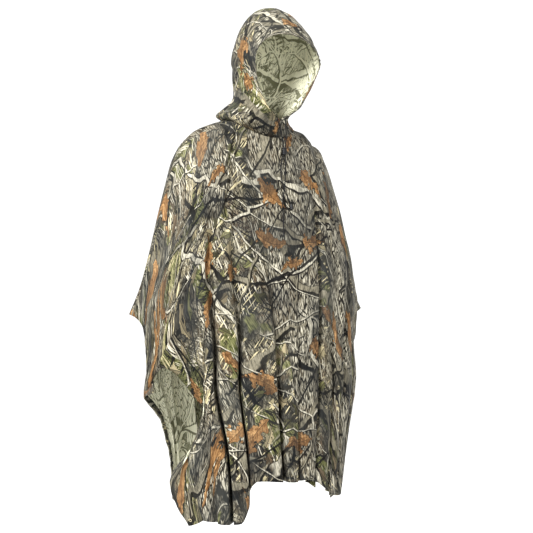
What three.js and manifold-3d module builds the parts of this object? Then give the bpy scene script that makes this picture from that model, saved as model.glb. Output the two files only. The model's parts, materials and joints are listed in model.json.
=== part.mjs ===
// Rain poncho in its worn form, with no wearer. Millimetres, +Z up, the front faces -Y and
// the wearer's left is +X. The origin is the middle of the neck, level with the shoulders.
import * as THREE from "three";
import { mergeVertices } from "three/addons/utils/BufferGeometryUtils.js";
import Module from "manifold-3d";

// Cloth and seams
const WALL = 2.0;
const SEAM_GAP = 0.3;
const RIGHT = -1;
const LEFT = 1;

// Neck seam: an oval that drops toward the chest
const NECK = { halfWidth: 105, front: 88, back: 68, midY: 8, sideZ: 6, frontDrop: 48, napeRise: 10 };
// The cloth leaves the neck seam at this slope: outward and upward parts of its normal
const NECK_NORMAL = { out: 0.43, up: 0.9 };

// Fold of the cloth over the shoulder and the arm, from the neck seam to the sleeve end
const ARM_LINE = [
  { x: 105, y: 8, z: 6 },
  { x: 140, y: 20, z: -6 },
  { x: 183, y: 30, z: -26 },
  { x: 211, y: 34, z: -52 },
  { x: 241, y: 36, z: -100 },
  { x: 262, y: 36, z: -160 },
  { x: 281, y: 34, z: -220 },
  { x: 305, y: 32, z: -300 },
  { x: 328, y: 29, z: -373 },
  { x: 353, y: 25, z: -446 },
  { x: 386, y: 20, z: -512 },
];

// The worn outline: half widths to the wearer's right and left, and depths from the middle
const RINGS = [
  { z: 20, right: 112, left: 112, midY: 8, front: 88, back: 68 },
  { z: -15, right: 150, left: 150, midY: 20, front: 96, back: 74 },
  { z: -50, right: 206, left: 206, midY: 32, front: 108, back: 78 },
  { z: -100, right: 238, left: 238, midY: 36, front: 124, back: 86 },
  { z: -150, right: 256, left: 256, midY: 36, front: 138, back: 92 },
  { z: -220, right: 277, left: 277, midY: 34, front: 150, back: 99 },
  { z: -300, right: 300, left: 300, midY: 32, front: 160, back: 109 },
  { z: -373, right: 322, left: 320, midY: 29, front: 167, back: 119 },
  { z: -450, right: 336, left: 330, midY: 25, front: 172, back: 129 },
  { z: -514, right: 338, left: 326, midY: 21, front: 177, back: 138 },
  { z: -560, right: 334, left: 320, midY: 19, front: 180, back: 145 },
  { z: -610, right: 330, left: 316, midY: 18, front: 182, back: 151 },
  { z: -700, right: 332, left: 318, midY: 15, front: 185, back: 160 },
  { z: -780, right: 308, left: 303, midY: 13, front: 188, back: 167 },
  { z: -850, right: 284, left: 285, midY: 11, front: 191, back: 173 },
  { z: -950, right: 264, left: 264, midY: 9, front: 194, back: 181 },
  { z: -1090, right: 250, left: 240, midY: 5, front: 198, back: 190 },
];
const RING_POWER = 2.12;
// Degrees to either side over which the outline's direction is taken, and its last angle
const NORMAL_STEP = 2;
const SIDE_ANGLE = 89.9;

// Share of the drop, from the neck or arm down to the hem, at which fold angles are given
const CHEST = 0.2;
const WAIST = 0.55;
// Share of the drop at which a fold has its full depth
const GATHERED = 0.8;
// How quickly the cloth leaves the neck or arm line for the outline, level and in height
const JOIN_POWER = 1.6;
const LIFT_POWER = 6;

// Troughs between the broad ridges of hanging cloth, from the wearer's right to the left.
// top: 0 neck middle, 1 neck side, 2 sleeve end. chest, waist, hem: angle round the body in
// degrees. depth and mouth in mm. start: share of the drop. lean: sideways tilt in mm.
const FRONT_TROUGHS = [
  { top: -1.72, chest: -73, waist: -63, hem: -68, depth: 14, mouth: 30, start: 0.03, lean: -4 },
  { top: -1.34, chest: -57, waist: -51, hem: -56, depth: 14, mouth: 26, start: 0.1, lean: 4 },
  { top: -1.06, chest: -44, waist: -40, hem: -44, depth: 46, mouth: 13, start: 0, lean: 6 },
  { top: -0.72, chest: -31, waist: -27, hem: -31, depth: 46, mouth: 13, start: 0.1, lean: 8 },
  { top: -0.22, chest: -8, waist: -7, hem: -7.5, depth: 30, mouth: 16, start: 0.22, lean: 6 },
  { top: 0.3, chest: 11, waist: 6, hem: 3, depth: 14, mouth: 20, start: 0.3, lean: -4 },
  { top: 1.07, chest: 29, waist: 20.5, hem: 15, depth: 46, mouth: 16, start: 0, lean: -8 },
  { top: 1.26, chest: 41, waist: 30, hem: 28, depth: 14, mouth: 22, start: 0.08, lean: 4 },
  { top: 1.48, chest: 54, waist: 40, hem: 41, depth: 24, mouth: 18, start: 0.06, lean: -6 },
  { top: 1.68, chest: 66, waist: 56, hem: 56, depth: 14, mouth: 22, start: 0.05, lean: 4 },
  { top: 1.86, chest: 79, waist: 73, hem: 73, depth: 12, mouth: 24, start: 0.04, lean: 4 },
];
const FRONT_ENDS = {
  right: { chest: -89, waist: -76, hem: -80 },
  left: { chest: 89, waist: 87, hem: 86 },
};
const BACK_TROUGHS = [
  { top: -1.72, chest: -73, waist: -48, hem: -58, depth: 6, mouth: 30, start: 0.04, lean: 0 },
  { top: -1.34, chest: -54, waist: -37, hem: -44, depth: 18, mouth: 28, start: 0.06, lean: -4 },
  { top: -1.06, chest: -37, waist: -27, hem: -31, depth: 50, mouth: 24, start: 0.02, lean: 8 },
  { top: -0.72, chest: -23, waist: -15, hem: -17, depth: 36, mouth: 24, start: 0.18, lean: -6 },
  { top: -0.22, chest: -8, waist: -4, hem: -3, depth: 48, mouth: 26, start: 0.24, lean: 8 },
  { top: 0.3, chest: 11, waist: 11, hem: 13, depth: 40, mouth: 24, start: 0.16, lean: -8 },
  { top: 1.07, chest: 30, waist: 25, hem: 27, depth: 50, mouth: 26, start: 0, lean: 10 },
  { top: 1.26, chest: 42, waist: 37, hem: 38, depth: 36, mouth: 24, start: 0.08, lean: -6 },
  { top: 1.48, chest: 55, waist: 49, hem: 49, depth: 42, mouth: 22, start: 0.06, lean: 6 },
  { top: 1.68, chest: 66, waist: 60, hem: 60, depth: 26, mouth: 20, start: 0.05, lean: -4 },
  { top: 1.86, chest: 78, waist: 71, hem: 71, depth: 14, mouth: 20, start: 0.04, lean: 2 },
];
const BACK_ENDS = {
  right: { chest: -89, waist: -60, hem: -72 },
  left: { chest: 89, waist: 80, hem: 80 },
};

// Height of the hem round the body
const FRONT_HEM = [
  { angle: -90, z: -1072 },
  { angle: -78, z: -1066 },
  { angle: -64, z: -1048 },
  { angle: -50, z: -1052 },
  { angle: -38, z: -1050 },
  { angle: -35.5, z: -1040 },
  { angle: -32, z: -1006 },
  { angle: -30, z: -960 },
  { angle: -26, z: -944 },
  { angle: -8, z: -951 },
  { angle: 2, z: -954 },
  { angle: 10, z: -948 },
  { angle: 14, z: -956 },
  { angle: 22, z: -980 },
  { angle: 30, z: -998 },
  { angle: 45, z: -1016 },
  { angle: 60, z: -1006 },
  { angle: 72, z: -1014 },
  { angle: 90, z: -1054 },
];
const BACK_HEM = [
  { angle: -90, z: -1052 },
  { angle: -70, z: -1046 },
  { angle: -45, z: -1020 },
  { angle: -20, z: -1000 },
  { angle: 0, z: -992 },
  { angle: 25, z: -990 },
  { angle: 50, z: -992 },
  { angle: 70, z: -1010 },
  { angle: 90, z: -1044 },
];

// Side edges of the cloth. t: share of the drop. The edges meet at the first snap.
const FRONT_RIGHT_EDGE = [
  { t: 0, x: -386, y: 20, z: -512 },
  { t: 0.03, x: -374, y: 4, z: -522 },
  { t: 0.1, x: -363, y: -10, z: -545 },
  { t: 0.2, x: -354, y: -8, z: -600 },
  { t: 0.31, x: -345, y: 2, z: -665 },
  { t: 0.37, x: -344, y: 7, z: -712 },
  { t: 0.44, x: -306, y: -26, z: -650 },
  { t: 0.51, x: -226, y: -40, z: -730 },
  { t: 0.58, x: -192, y: -48, z: -796 },
  { t: 0.65, x: -216, y: -40, z: -842 },
  { t: 0.72, x: -250, y: -28, z: -888 },
  { t: 0.79, x: -276, y: -12, z: -926 },
  { t: 0.86, x: -278, y: -4, z: -964 },
  { t: 0.93, x: -262, y: -12, z: -1016 },
  { t: 1, x: -238, y: -32, z: -1066 },
];
const BACK_RIGHT_EDGE = [
  { t: 0, x: -386, y: 20, z: -512 },
  { t: 0.03, x: -360, y: 31, z: -522 },
  { t: 0.1, x: -334, y: 37, z: -545 },
  { t: 0.2, x: -326, y: 36, z: -600 },
  { t: 0.31, x: -332, y: 14, z: -665 },
  { t: 0.37, x: -331, y: -7, z: -712 },
  { t: 0.44, x: -304, y: 90, z: -738 },
  { t: 0.51, x: -270, y: 106, z: -772 },
  { t: 0.58, x: -242, y: 110, z: -806 },
  { t: 0.65, x: -230, y: 106, z: -850 },
  { t: 0.72, x: -220, y: 98, z: -900 },
  { t: 0.79, x: -218, y: 92, z: -944 },
  { t: 0.86, x: -216, y: 84, z: -984 },
  { t: 0.93, x: -210, y: 76, z: -1020 },
  { t: 1, x: -203, y: 66, z: -1048 },
];
const FRONT_LEFT_EDGE = [
  { t: 0, x: 386, y: 20, z: -512 },
  { t: 0.03, x: 356, y: 3, z: -522 },
  { t: 0.1, x: 341, y: -12, z: -545 },
  { t: 0.2, x: 334, y: -8, z: -600 },
  { t: 0.31, x: 326, y: 2, z: -665 },
  { t: 0.37, x: 326, y: 7, z: -712 },
  { t: 0.44, x: 316, y: -12, z: -742 },
  { t: 0.51, x: 301, y: -26, z: -786 },
  { t: 0.58, x: 290, y: -26, z: -828 },
  { t: 0.65, x: 284, y: -20, z: -866 },
  { t: 0.72, x: 278, y: -14, z: -904 },
  { t: 0.79, x: 272, y: -10, z: -942 },
  { t: 0.86, x: 265, y: -6, z: -980 },
  { t: 0.93, x: 259, y: -6, z: -1016 },
  { t: 1, x: 251, y: -6, z: -1052 },
];
const BACK_LEFT_EDGE = [
  { t: 0, x: 386, y: 20, z: -512 },
  { t: 0.03, x: 362, y: 36, z: -520 },
  { t: 0.1, x: 340, y: 42, z: -545 },
  { t: 0.2, x: 324, y: 42, z: -600 },
  { t: 0.31, x: 313, y: 14, z: -665 },
  { t: 0.37, x: 313, y: -7, z: -712 },
  { t: 0.44, x: 304, y: 36, z: -742 },
  { t: 0.51, x: 288, y: 54, z: -786 },
  { t: 0.58, x: 277, y: 60, z: -828 },
  { t: 0.65, x: 269, y: 64, z: -868 },
  { t: 0.72, x: 262, y: 64, z: -908 },
  { t: 0.79, x: 256, y: 62, z: -944 },
  { t: 0.86, x: 250, y: 58, z: -976 },
  { t: 0.93, x: 245, y: 54, z: -1006 },
  { t: 1, x: 240, y: 50, z: -1032 },
];
// Troughs next to a side edge over which the cloth settles into that edge
const EDGE_REACH = { frontRight: 2.2, others: 1.4 };

// Rows of the cloth down the drop, closer where it turns over the arm
const ROWS = [
  0, 0.014, 0.045, 0.1, 0.17, 0.24, 0.31, 0.37, 0.44, 0.51, 0.58, 0.65, 0.72, 0.79, 0.89, 1,
];
// Columns across one trough: -1 and 1 are the ridges, 0 is the bottom
const TROUGH_STEPS = [-0.62, -0.3, 0, 0.3, 0.62, 1];
const TROUGH_SHARE = 0.62;
const TROUGH_POWER = 1.3;
const MOUTH_LIMIT = 0.8;
const RIDGE_PUFF = 3;
// Width of a degree of the hem round the body, in mm
const MM_PER_DEGREE = 4.3;

// Smooth reading of one column of a table along another
function read(table, key, at, name) {
  const last = table.length - 1;
  if (at <= table[0][key]) return table[0][name];
  if (at >= table[last][key]) return table[last][name];
  let i = 0;
  while (table[i + 1][key] < at) i += 1;
  const slope = (j) => {
    const a = table[Math.max(j - 1, 0)];
    const b = table[Math.min(j + 1, last)];
    return (b[name] - a[name]) / (b[key] - a[key]);
  };
  const span = table[i + 1][key] - table[i][key];
  const f = (at - table[i][key]) / span;
  const f2 = f * f;
  const f3 = f2 * f;
  return (
    (2 * f3 - 3 * f2 + 1) * table[i][name] +
    (f3 - 2 * f2 + f) * span * slope(i) +
    (3 * f2 - 2 * f3) * table[i + 1][name] +
    (f3 - f2) * span * slope(i + 1)
  );
}

const mix = (a, b, f) => a + (b - a) * f;
const ramp = (f) => {
  const g = Math.min(Math.max(f, 0), 1);
  return g * g * (3 - 2 * g);
};
const radians = THREE.MathUtils.degToRad;
const vector = (x, y, z) => new THREE.Vector3(x, y, z);

// Heights fall down the table, so its key is turned to a drop that grows
const RING_DROPS = RINGS.map((row) => ({ ...row, drop: -row.z }));

// Point of the neck seam: turn 0 is the throat, 90 the side and 180 the nape, to either side
function neckPoint(turn, side) {
  const c = Math.cos(radians(turn));
  const s = Math.sin(radians(turn));
  const depth = c > 0 ? NECK.front : NECK.back;
  const rise = c > 0 ? -NECK.frontDrop : NECK.napeRise;
  return vector(side * NECK.halfWidth * s, NECK.midY - depth * c, NECK.sideZ + rise * c * c);
}

function neckNormal(turn, side) {
  const c = Math.cos(radians(turn));
  const s = Math.sin(radians(turn));
  return vector(side * NECK_NORMAL.out * s, -NECK_NORMAL.out * c, NECK_NORMAL.up).normalize();
}

// Lengths along the arm line, so that its share runs evenly
const ARM_SHARES = ARM_LINE.map((row) => ({ ...row, share: 0 }));
for (let i = 1; i < ARM_SHARES.length; i += 1) {
  const a = ARM_SHARES[i - 1];
  const b = ARM_SHARES[i];
  b.share = a.share + Math.hypot(b.x - a.x, b.y - a.y, b.z - a.z);
}
const ARM_LENGTH = ARM_SHARES[ARM_SHARES.length - 1].share;
for (const row of ARM_SHARES) row.share /= ARM_LENGTH;

function armPoint(share, side) {
  const get = (name) => read(ARM_SHARES, "share", share, name);
  return vector(side * get("x"), get("y"), get("z"));
}

function armNormal(share, side) {
  const a = armPoint(Math.max(share - 0.01, 0), side);
  const b = armPoint(Math.min(share + 0.01, 1), side);
  return vector(-(b.z - a.z) * side, 0, (b.x - a.x) * side).normalize();
}

// Upper boundary of a panel: face is -1 for the front and 1 for the back
function topPoint(top, face) {
  const side = Math.sign(top) || 1;
  const share = Math.abs(top);
  const turn = face < 0 ? 90 * share : 180 - 90 * share;
  if (share < 1) return neckPoint(turn, side);
  const point = armPoint(share - 1, side);
  point.y += (face * SEAM_GAP) / 2;
  return point;
}

function topNormal(top, face) {
  const side = Math.sign(top) || 1;
  const share = Math.abs(top);
  if (share < 1) return neckNormal(face < 0 ? 90 * share : 180 - 90 * share, side);
  return armNormal(share - 1, side);
}

// Y of the worn outline at a height and an X
function ringY(z, x, face) {
  const get = (name) => read(RING_DROPS, "drop", -z, name);
  const half = get(x < 0 ? "right" : "left");
  const part = Math.min(Math.abs(x / half), 1);
  const depth = get(face < 0 ? "front" : "back");
  return get("midY") + face * depth * (1 - part ** RING_POWER) ** (1 / RING_POWER);
}

// Point of the worn outline at a height and an angle round the body
function ringPoint(z, angle, face) {
  const half = read(RING_DROPS, "drop", -z, angle < 0 ? "right" : "left");
  const x = half * Math.sin(radians(angle));
  return vector(x, ringY(z, x, face), z);
}

// Outward direction of the outline, level
function ringNormal(z, angle, face) {
  const a = ringPoint(z, Math.max(angle - NORMAL_STEP, -SIDE_ANGLE), face);
  const b = ringPoint(z, Math.min(angle + NORMAL_STEP, SIDE_ANGLE), face);
  return vector((a.y - b.y) * face, (b.x - a.x) * face, 0).normalize();
}

// One column of a panel: where it starts and which trough it crosses
function panelColumns(troughs, ends) {
  const columns = [];
  const ridge = (k) => {
    if (k === 0) return { top: -2, ...ends.right };
    if (k === troughs.length) return { top: 2, ...ends.left };
    const middle = {};
    for (const name of ["top", "chest", "waist", "hem"]) {
      middle[name] = (troughs[k - 1][name] + troughs[k][name]) / 2;
    }
    return middle;
  };
  columns.push({ trough: 0, step: -1, bottom: troughs[0], shore: ridge(0), place: 0 });
  troughs.forEach((bottom, k) => {
    for (const step of TROUGH_STEPS) {
      const shore = step < 0 ? ridge(k) : ridge(k + 1);
      columns.push({ trough: k, step, bottom, shore, place: k + 0.5 + step / 2 });
    }
  });
  for (const column of columns) {
    column.top = mix(column.bottom.top, column.shore.top, Math.abs(column.step));
  }
  // The neck seam has a column at its middle and at each side, which the hood shares
  for (const target of [-1, 0, 1]) {
    const gap = (column) => Math.abs(column.top - target);
    const nearest = columns.reduce((a, b) => (gap(b) < gap(a) ? b : a));
    nearest.top = target;
  }
  return columns;
}

// Place of a column between the trough's bottom and the ridge, as the fold gathers
function gatheredShare(column, gather) {
  const far = Math.abs(column.step);
  const width = Math.abs(column.shore.hem - column.bottom.hem) * MM_PER_DEGREE;
  const mouth = Math.min(column.bottom.mouth / 2 / width, MOUTH_LIMIT);
  const tight =
    far < TROUGH_SHARE
      ? mouth * (far / TROUGH_SHARE) ** TROUGH_POWER
      : mouth + ((far - TROUGH_SHARE) / (1 - TROUGH_SHARE)) * (1 - mouth);
  return mix(far, tight, gather);
}

function columnAngle(column, t, share) {
  const at = (name) => mix(column.bottom[name], column.shore[name], share);
  const table = [
    { t: CHEST, angle: at("chest") },
    { t: WAIST, angle: at("waist") },
    { t: 1, angle: at("hem") },
  ];
  return read(table, "t", t, "angle");
}

// Outer face of a panel at a column and a share of the drop, before its side edges settle
function hangingPoint(panel, column, t) {
  const start = column.bottom.start;
  const gather = ramp((t - start) / (GATHERED - start));
  const share = gatheredShare(column, gather);
  const angle = columnAngle(column, t, share);
  const top = topPoint(column.top, panel.face);
  const hemAngle = columnAngle(column, 1, gatheredShare(column, 1));
  const z = mix(top.z, read(panel.hem, "angle", hemAngle, "z"), t);
  const point = ringPoint(z, angle, panel.face);
  const normal = ringNormal(z, angle, panel.face);
  const far = Math.abs(column.step);
  const dip = far < TROUGH_SHARE ? Math.cos((Math.PI / 2) * (far / TROUGH_SHARE)) ** 2 : 0;
  const puff = far > TROUGH_SHARE ? ramp((far - TROUGH_SHARE) / (1 - TROUGH_SHARE)) : 0;
  point.addScaledVector(normal, gather * (RIDGE_PUFF * puff - column.bottom.depth * dip));
  const along = vector(normal.y * panel.face, -normal.x * panel.face, 0);
  point.addScaledVector(along, gather * column.bottom.lean * dip);
  // Above the chest the cloth leaves the neck or arm line and falls to the outline
  const join = Math.max(0, 1 - t / CHEST);
  if (join > 0) {
    point.x = mix(point.x, top.x, join ** JOIN_POWER);
    point.y = mix(point.y, ringY(z, point.x, panel.face), join ** JOIN_POWER);
    point.y += (top.y - ringY(top.z, top.x, panel.face)) * join ** LIFT_POWER;
  }
  return point;
}

function edgePoint(edge, t, face) {
  const point = vector(read(edge, "t", t, "x"), read(edge, "t", t, "y"), read(edge, "t", t, "z"));
  if (t === 0) point.y += (face * SEAM_GAP) / 2;
  return point;
}

function panelPoint(panel, column, t) {
  const point = hangingPoint(panel, column, t);
  const last = panel.columns[panel.columns.length - 1];
  for (const [edge, end] of [[panel.rightEdge, panel.columns[0]], [panel.leftEdge, last]]) {
    const away = Math.abs(column.place - end.place);
    const reach = edge === FRONT_RIGHT_EDGE ? EDGE_REACH.frontRight : EDGE_REACH.others;
    const pull = ramp(1 - away / reach);
    if (pull === 0) continue;
    const shift = edgePoint(edge, t, panel.face).sub(hangingPoint(panel, end, t));
    point.addScaledVector(shift, pull);
  }
  return point;
}

// Normals of a grid of points, from the neighbours on either side
function gridNormals(grid, flip) {
  return grid.map((row, i) =>
    row.map((_, j) => {
      const up = grid[Math.max(i - 1, 0)][j];
      const down = grid[Math.min(i + 1, grid.length - 1)][j];
      const before = row[Math.max(j - 1, 0)];
      const after = row[Math.min(j + 1, row.length - 1)];
      const across = after.clone().sub(before);
      return across.cross(down.clone().sub(up)).normalize().multiplyScalar(flip);
    }),
  );
}

// Closed wall between an outer grid and the same grid moved in by the cloth's thickness
function wallGeometry(outer, normals, flip) {
  const rows = outer.length;
  const across = outer[0].length;
  const positions = [];
  for (let i = 0; i < rows; i += 1) {
    for (let j = 0; j < across; j += 1) positions.push(...outer[i][j].toArray());
  }
  for (let i = 0; i < rows; i += 1) {
    for (let j = 0; j < across; j += 1) {
      positions.push(...outer[i][j].clone().addScaledVector(normals[i][j], -WALL).toArray());
    }
  }
  const index = [];
  const inner = rows * across;
  const face = (a, b, c) => index.push(...(flip > 0 ? [a, b, c] : [a, c, b]));
  const quad = (a, b, c, d) => {
    face(a, b, c);
    face(a, c, d);
  };
  for (let i = 0; i < rows - 1; i += 1) {
    for (let j = 0; j < across - 1; j += 1) {
      const a = i * across + j;
      const d = a + across;
      quad(a, d, d + 1, a + 1);
      face(inner + a, inner + d + 1, inner + d);
      face(inner + a, inner + a + 1, inner + d + 1);
    }
  }
  const rim = [];
  for (let j = 0; j < across; j += 1) rim.push(j);
  for (let i = 1; i < rows; i += 1) rim.push(i * across + across - 1);
  for (let j = across - 2; j >= 0; j -= 1) rim.push((rows - 1) * across + j);
  for (let i = rows - 2; i > 0; i -= 1) rim.push(i * across);
  rim.forEach((a, k) => {
    const b = rim[(k + 1) % rim.length];
    quad(a, b, inner + b, inner + a);
  });
  const geometry = new THREE.BufferGeometry();
  geometry.setAttribute("position", new THREE.Float32BufferAttribute(positions, 3));
  geometry.setIndex(index);
  geometry.computeVertexNormals();
  return geometry;
}

function makePanel(face, troughs, ends, hem, rightEdge, leftEdge) {
  const panel = { face, hem, rightEdge, leftEdge, columns: panelColumns(troughs, ends) };
  panel.grid = ROWS.map((t) => panel.columns.map((column) => panelPoint(panel, column, t)));
  panel.normals = gridNormals(panel.grid, face < 0 ? -1 : 1);
  panel.normals[0] = panel.columns.map((column) => topNormal(column.top, face));
  return panel;
}

// Hood: one side of it, cut along the middle of the head. Each row is a turn round the neck,
// 0 at the throat and 180 at the nape. The cloth rolls out over the neck seam, narrows above
// it, widens beside the head and closes at the middle seam.
const HOOD = [
  {
    turn: 0, rollX: 0, rollY: -98, rollZ: -22, veeX: 0, veeY: -108, veeZ: 2,
    waistX: 48, waistY: -124, waistZ: 34, sideX: 88, sideY: -142, sideZ: 150, seamY: -138, seamZ: 228,
  },
  {
    turn: 30, rollX: 62, rollY: -88, rollZ: -10, veeX: 58, veeY: -98, veeZ: 14,
    waistX: 74, waistY: -102, waistZ: 46, sideX: 98, sideY: -112, sideZ: 154, seamY: -124, seamZ: 258,
  },
  {
    turn: 60, rollX: 102, rollY: -48, rollZ: 6, veeX: 92, veeY: -56, veeZ: 26,
    waistX: 86, waistY: -64, waistZ: 56, sideX: 105, sideY: -74, sideZ: 158, seamY: -98, seamZ: 290,
  },
  {
    turn: 90, rollX: 114, rollY: 6, rollZ: 18, veeX: 100, veeY: -4, veeZ: 36,
    waistX: 88, waistY: -20, waistZ: 62, sideX: 107, sideY: -34, sideZ: 161, seamY: -62, seamZ: 311,
  },
  {
    turn: 120, rollX: 102, rollY: 54, rollZ: 24, veeX: 90, veeY: 40, veeZ: 42,
    waistX: 78, waistY: 18, waistZ: 68, sideX: 96, sideY: 12, sideZ: 163, seamY: -24, seamZ: 318,
  },
  {
    turn: 150, rollX: 58, rollY: 80, rollZ: 28, veeX: 52, veeY: 62, veeZ: 46,
    waistX: 46, waistY: 40, waistZ: 72, sideX: 62, sideY: 48, sideZ: 164, seamY: 6, seamZ: 308,
  },
  {
    turn: 180, rollX: 0, rollY: 88, rollZ: 30, veeX: 0, veeY: 70, veeZ: 48,
    waistX: 0, waistY: 48, waistZ: 74, sideX: 0, sideY: 62, sideZ: 166, seamY: 26, seamZ: 286,
  },
];
// Shares of the way from the neck seam to the middle seam
const HOOD_ROLL = 0.08;
const HOOD_VEE = 0.16;
const HOOD_WAIST = 0.26;
const HOOD_SIDE = 0.54;
const HOOD_ROWS = [0, 0.04, 0.08, 0.12, 0.16, 0.26, 0.38, 0.54, 0.68, 0.81, 0.92, 1];
// The middle seam bulges behind the head, from this turn to the nape
const HOOD_BULGE = { rise: 12, from: 120, span: 60 };
// Next knot above the side, which sets the slope of the cloth there
const HOOD_ABOVE = { narrow: 0.9, rise: 70 };
// The left side stands in over the neck seam by a share and toward the back, and is wider above
const HOOD_LEFT = [
  { turn: 0, share: 1, back: 0, wide: 14 },
  { turn: 30, share: 0.8, back: 18, wide: 14 },
  { turn: 60, share: 0.74, back: 6, wide: 10 },
  { turn: 90, share: 0.82, back: 0, wide: 4 },
  { turn: 130, share: 0.92, back: 0, wide: 0 },
  { turn: 180, share: 1, back: 0, wide: 0 },
];
// The hood faces a little to the wearer's right and stands over to the left
const HOOD_TURN = -12;
const HOOD_SHIFT = 16;
const HOOD_TURN_HEIGHT = 110;
const HOOD_SHIFT_HEIGHT = 160;
const HOOD_MIDDLE_Y = -50;

// Turns at which the hood meets the panels, from the throat to the nape
function neckTurns(side) {
  const shares = (panel) =>
    panel.columns.map((column) => column.top * side).filter((top) => top >= 0 && top <= 1);
  const fromThroat = shares(front).sort((a, b) => a - b).map((share) => 90 * share);
  const toNape = shares(back).sort((a, b) => b - a).map((share) => 180 - 90 * share);
  return [...fromThroat, ...toNape.slice(1)];
}

function hoodPoint(turn, v, side) {
  const get = (name) => read(HOOD, "turn", turn, name);
  const left = (name) => read(HOOD_LEFT, "turn", turn, name);
  const knot = (name) => vector(side * get(`${name}X`), get(`${name}Y`), get(`${name}Z`));
  const tucked = (name) => {
    const place = knot(name);
    if (side === LEFT) place.set(place.x * left("share"), place.y + left("back"), place.z);
    return place;
  };
  const base = neckPoint(turn, side);
  const normal = neckNormal(turn, side);
  const outward = vector(normal.x, normal.y, 0).normalize();
  const inUp = outward.multiplyScalar(-normal.z).add(vector(0, 0, Math.hypot(normal.x, normal.y)));
  base.addScaledVector(inUp, SEAM_GAP);
  const sidePoint = knot("side");
  if (side === LEFT) sidePoint.x += left("wide");
  const above = vector(sidePoint.x * HOOD_ABOVE.narrow, sidePoint.y, sidePoint.z + HOOD_ABOVE.rise);
  let point;
  if (v <= HOOD_SIDE) {
    const knots = [
      { v: 0, point: base },
      { v: HOOD_ROLL, point: tucked("roll") },
      { v: HOOD_VEE, point: tucked("vee") },
      { v: HOOD_WAIST, point: knot("waist") },
      { v: HOOD_SIDE, point: sidePoint },
      { v: 2 * HOOD_SIDE - HOOD_WAIST, point: above },
    ].map((row) => ({ v: row.v, x: row.point.x, y: row.point.y, z: row.point.z }));
    point = vector(read(knots, "v", v, "x"), read(knots, "v", v, "y"), read(knots, "v", v, "z"));
  } else {
    const lift = ((v - HOOD_SIDE) / (1 - HOOD_SIDE)) * 90;
    const up = Math.sin(radians(lift));
    const over = Math.cos(radians(lift));
    point = vector(
      sidePoint.x * over,
      mix(sidePoint.y, get("seamY"), up),
      mix(sidePoint.z, get("seamZ"), up),
    );
    const backShare = ramp((turn - HOOD_BULGE.from) / HOOD_BULGE.span);
    point.y += HOOD_BULGE.rise * backShare * Math.sin(radians(2 * lift));
  }
  if (onMiddle(turn, v)) point.x = 0;
  const swing = radians(HOOD_TURN) * ramp(point.z / HOOD_TURN_HEIGHT);
  const dy = point.y - HOOD_MIDDLE_Y;
  const x = point.x * Math.cos(swing) - dy * Math.sin(swing);
  point.y = HOOD_MIDDLE_Y + point.x * Math.sin(swing) + dy * Math.cos(swing);
  point.x = x + HOOD_SHIFT * ramp(point.z / HOOD_SHIFT_HEIGHT);
  if (onMiddle(turn, v)) point.x += (side * SEAM_GAP) / 2;
  return point;
}

// Where the two sides of the hood are sewn together: below the face opening, and over the head
function onMiddle(turn, v) {
  return (turn === 0 && v <= HOOD_VEE) || turn === 180 || v === 1;
}

function makeHood(side) {
  const turns = neckTurns(side);
  const hood = { turns };
  hood.grid = HOOD_ROWS.map((v) => turns.map((turn) => hoodPoint(turn, v, side)));
  hood.normals = gridNormals(hood.grid, side);
  hood.normals[0] = turns.map((turn) => neckNormal(turn, side));
  const swing = radians(HOOD_TURN);
  hood.normals.forEach((row, i) => {
    row.forEach((normal, j) => {
      if (!onMiddle(turns[j], HOOD_ROWS[i])) return;
      const turned = swing * ramp(hood.grid[i][j].z / HOOD_TURN_HEIGHT);
      const acrossSeam = vector(Math.cos(turned), Math.sin(turned), 0);
      normal.addScaledVector(acrossSeam, -normal.dot(acrossSeam)).normalize();
    });
  });
  return hood;
}

// Snaps near the side edges: a cap outside the cloth and a socket or stud inside it
const SNAP = { capRadius: 5.2, capHeight: 1.6, socketRadius: 4.4, socketHeight: 1.8 };
const SNAP_GAP = 0.35;
// The first pair is closed: a stud under the front's socket, ahead of the back edge
const STUD_HEIGHT = 1.4;
const ROUND_STEPS = 12;
// Rows of the cloth just above each snap
const SNAP_ROWS = { front: { first: 6, second: 9, third: 11 }, back: { second: 9, third: 12 } };
const EYELET_ROW = 14;
const HOLE_LENGTH = 12;
const EYELET = { bore: 2.4, barrel: 3.1, flange: 5.2, flangeHeight: 0.9, hole: 3.5, gap: 0.35 };

// Facet of a panel's wall next to a side edge: its middle and its outward direction
function edgeFacet(panel, row, side, inside) {
  const last = panel.grid[0].length - 1;
  const [edge, next] = side === RIGHT ? [0, 1] : [last, last - 1];
  const corner = (i, j) => {
    const point = panel.grid[i][j].clone();
    return inside ? point.addScaledVector(panel.normals[i][j], -WALL) : point;
  };
  const rightTriangle = [corner(row, 0), corner(row + 1, 0), corner(row + 1, 1)];
  const leftTriangle = [corner(row, last - 1), corner(row, last), corner(row + 1, last)];
  const [a, b, c] = side === RIGHT ? rightTriangle : leftTriangle;
  const lengths = [b.distanceTo(c), a.distanceTo(c), a.distanceTo(b)];
  const total = lengths[0] + lengths[1] + lengths[2];
  const middle = vector(0, 0, 0);
  [a, b, c].forEach((point, k) => middle.addScaledVector(point, lengths[k] / total));
  const normal = b.clone().sub(a).cross(c.clone().sub(a)).normalize();
  const outward = panel.normals[row][edge].clone().add(panel.normals[row + 1][next]);
  if (normal.dot(outward) < 0) normal.negate();
  return { middle, normal };
}

const Y_AXIS = vector(0, 1, 0);

// Turns a shape made round the Y axis to a direction and moves it there
function placed(geometry, middle, direction) {
  const turn = new THREE.Quaternion().setFromUnitVectors(Y_AXIS, direction);
  const place = new THREE.Matrix4().makeRotationFromQuaternion(turn).setPosition(middle);
  return geometry.applyMatrix4(place);
}

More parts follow.
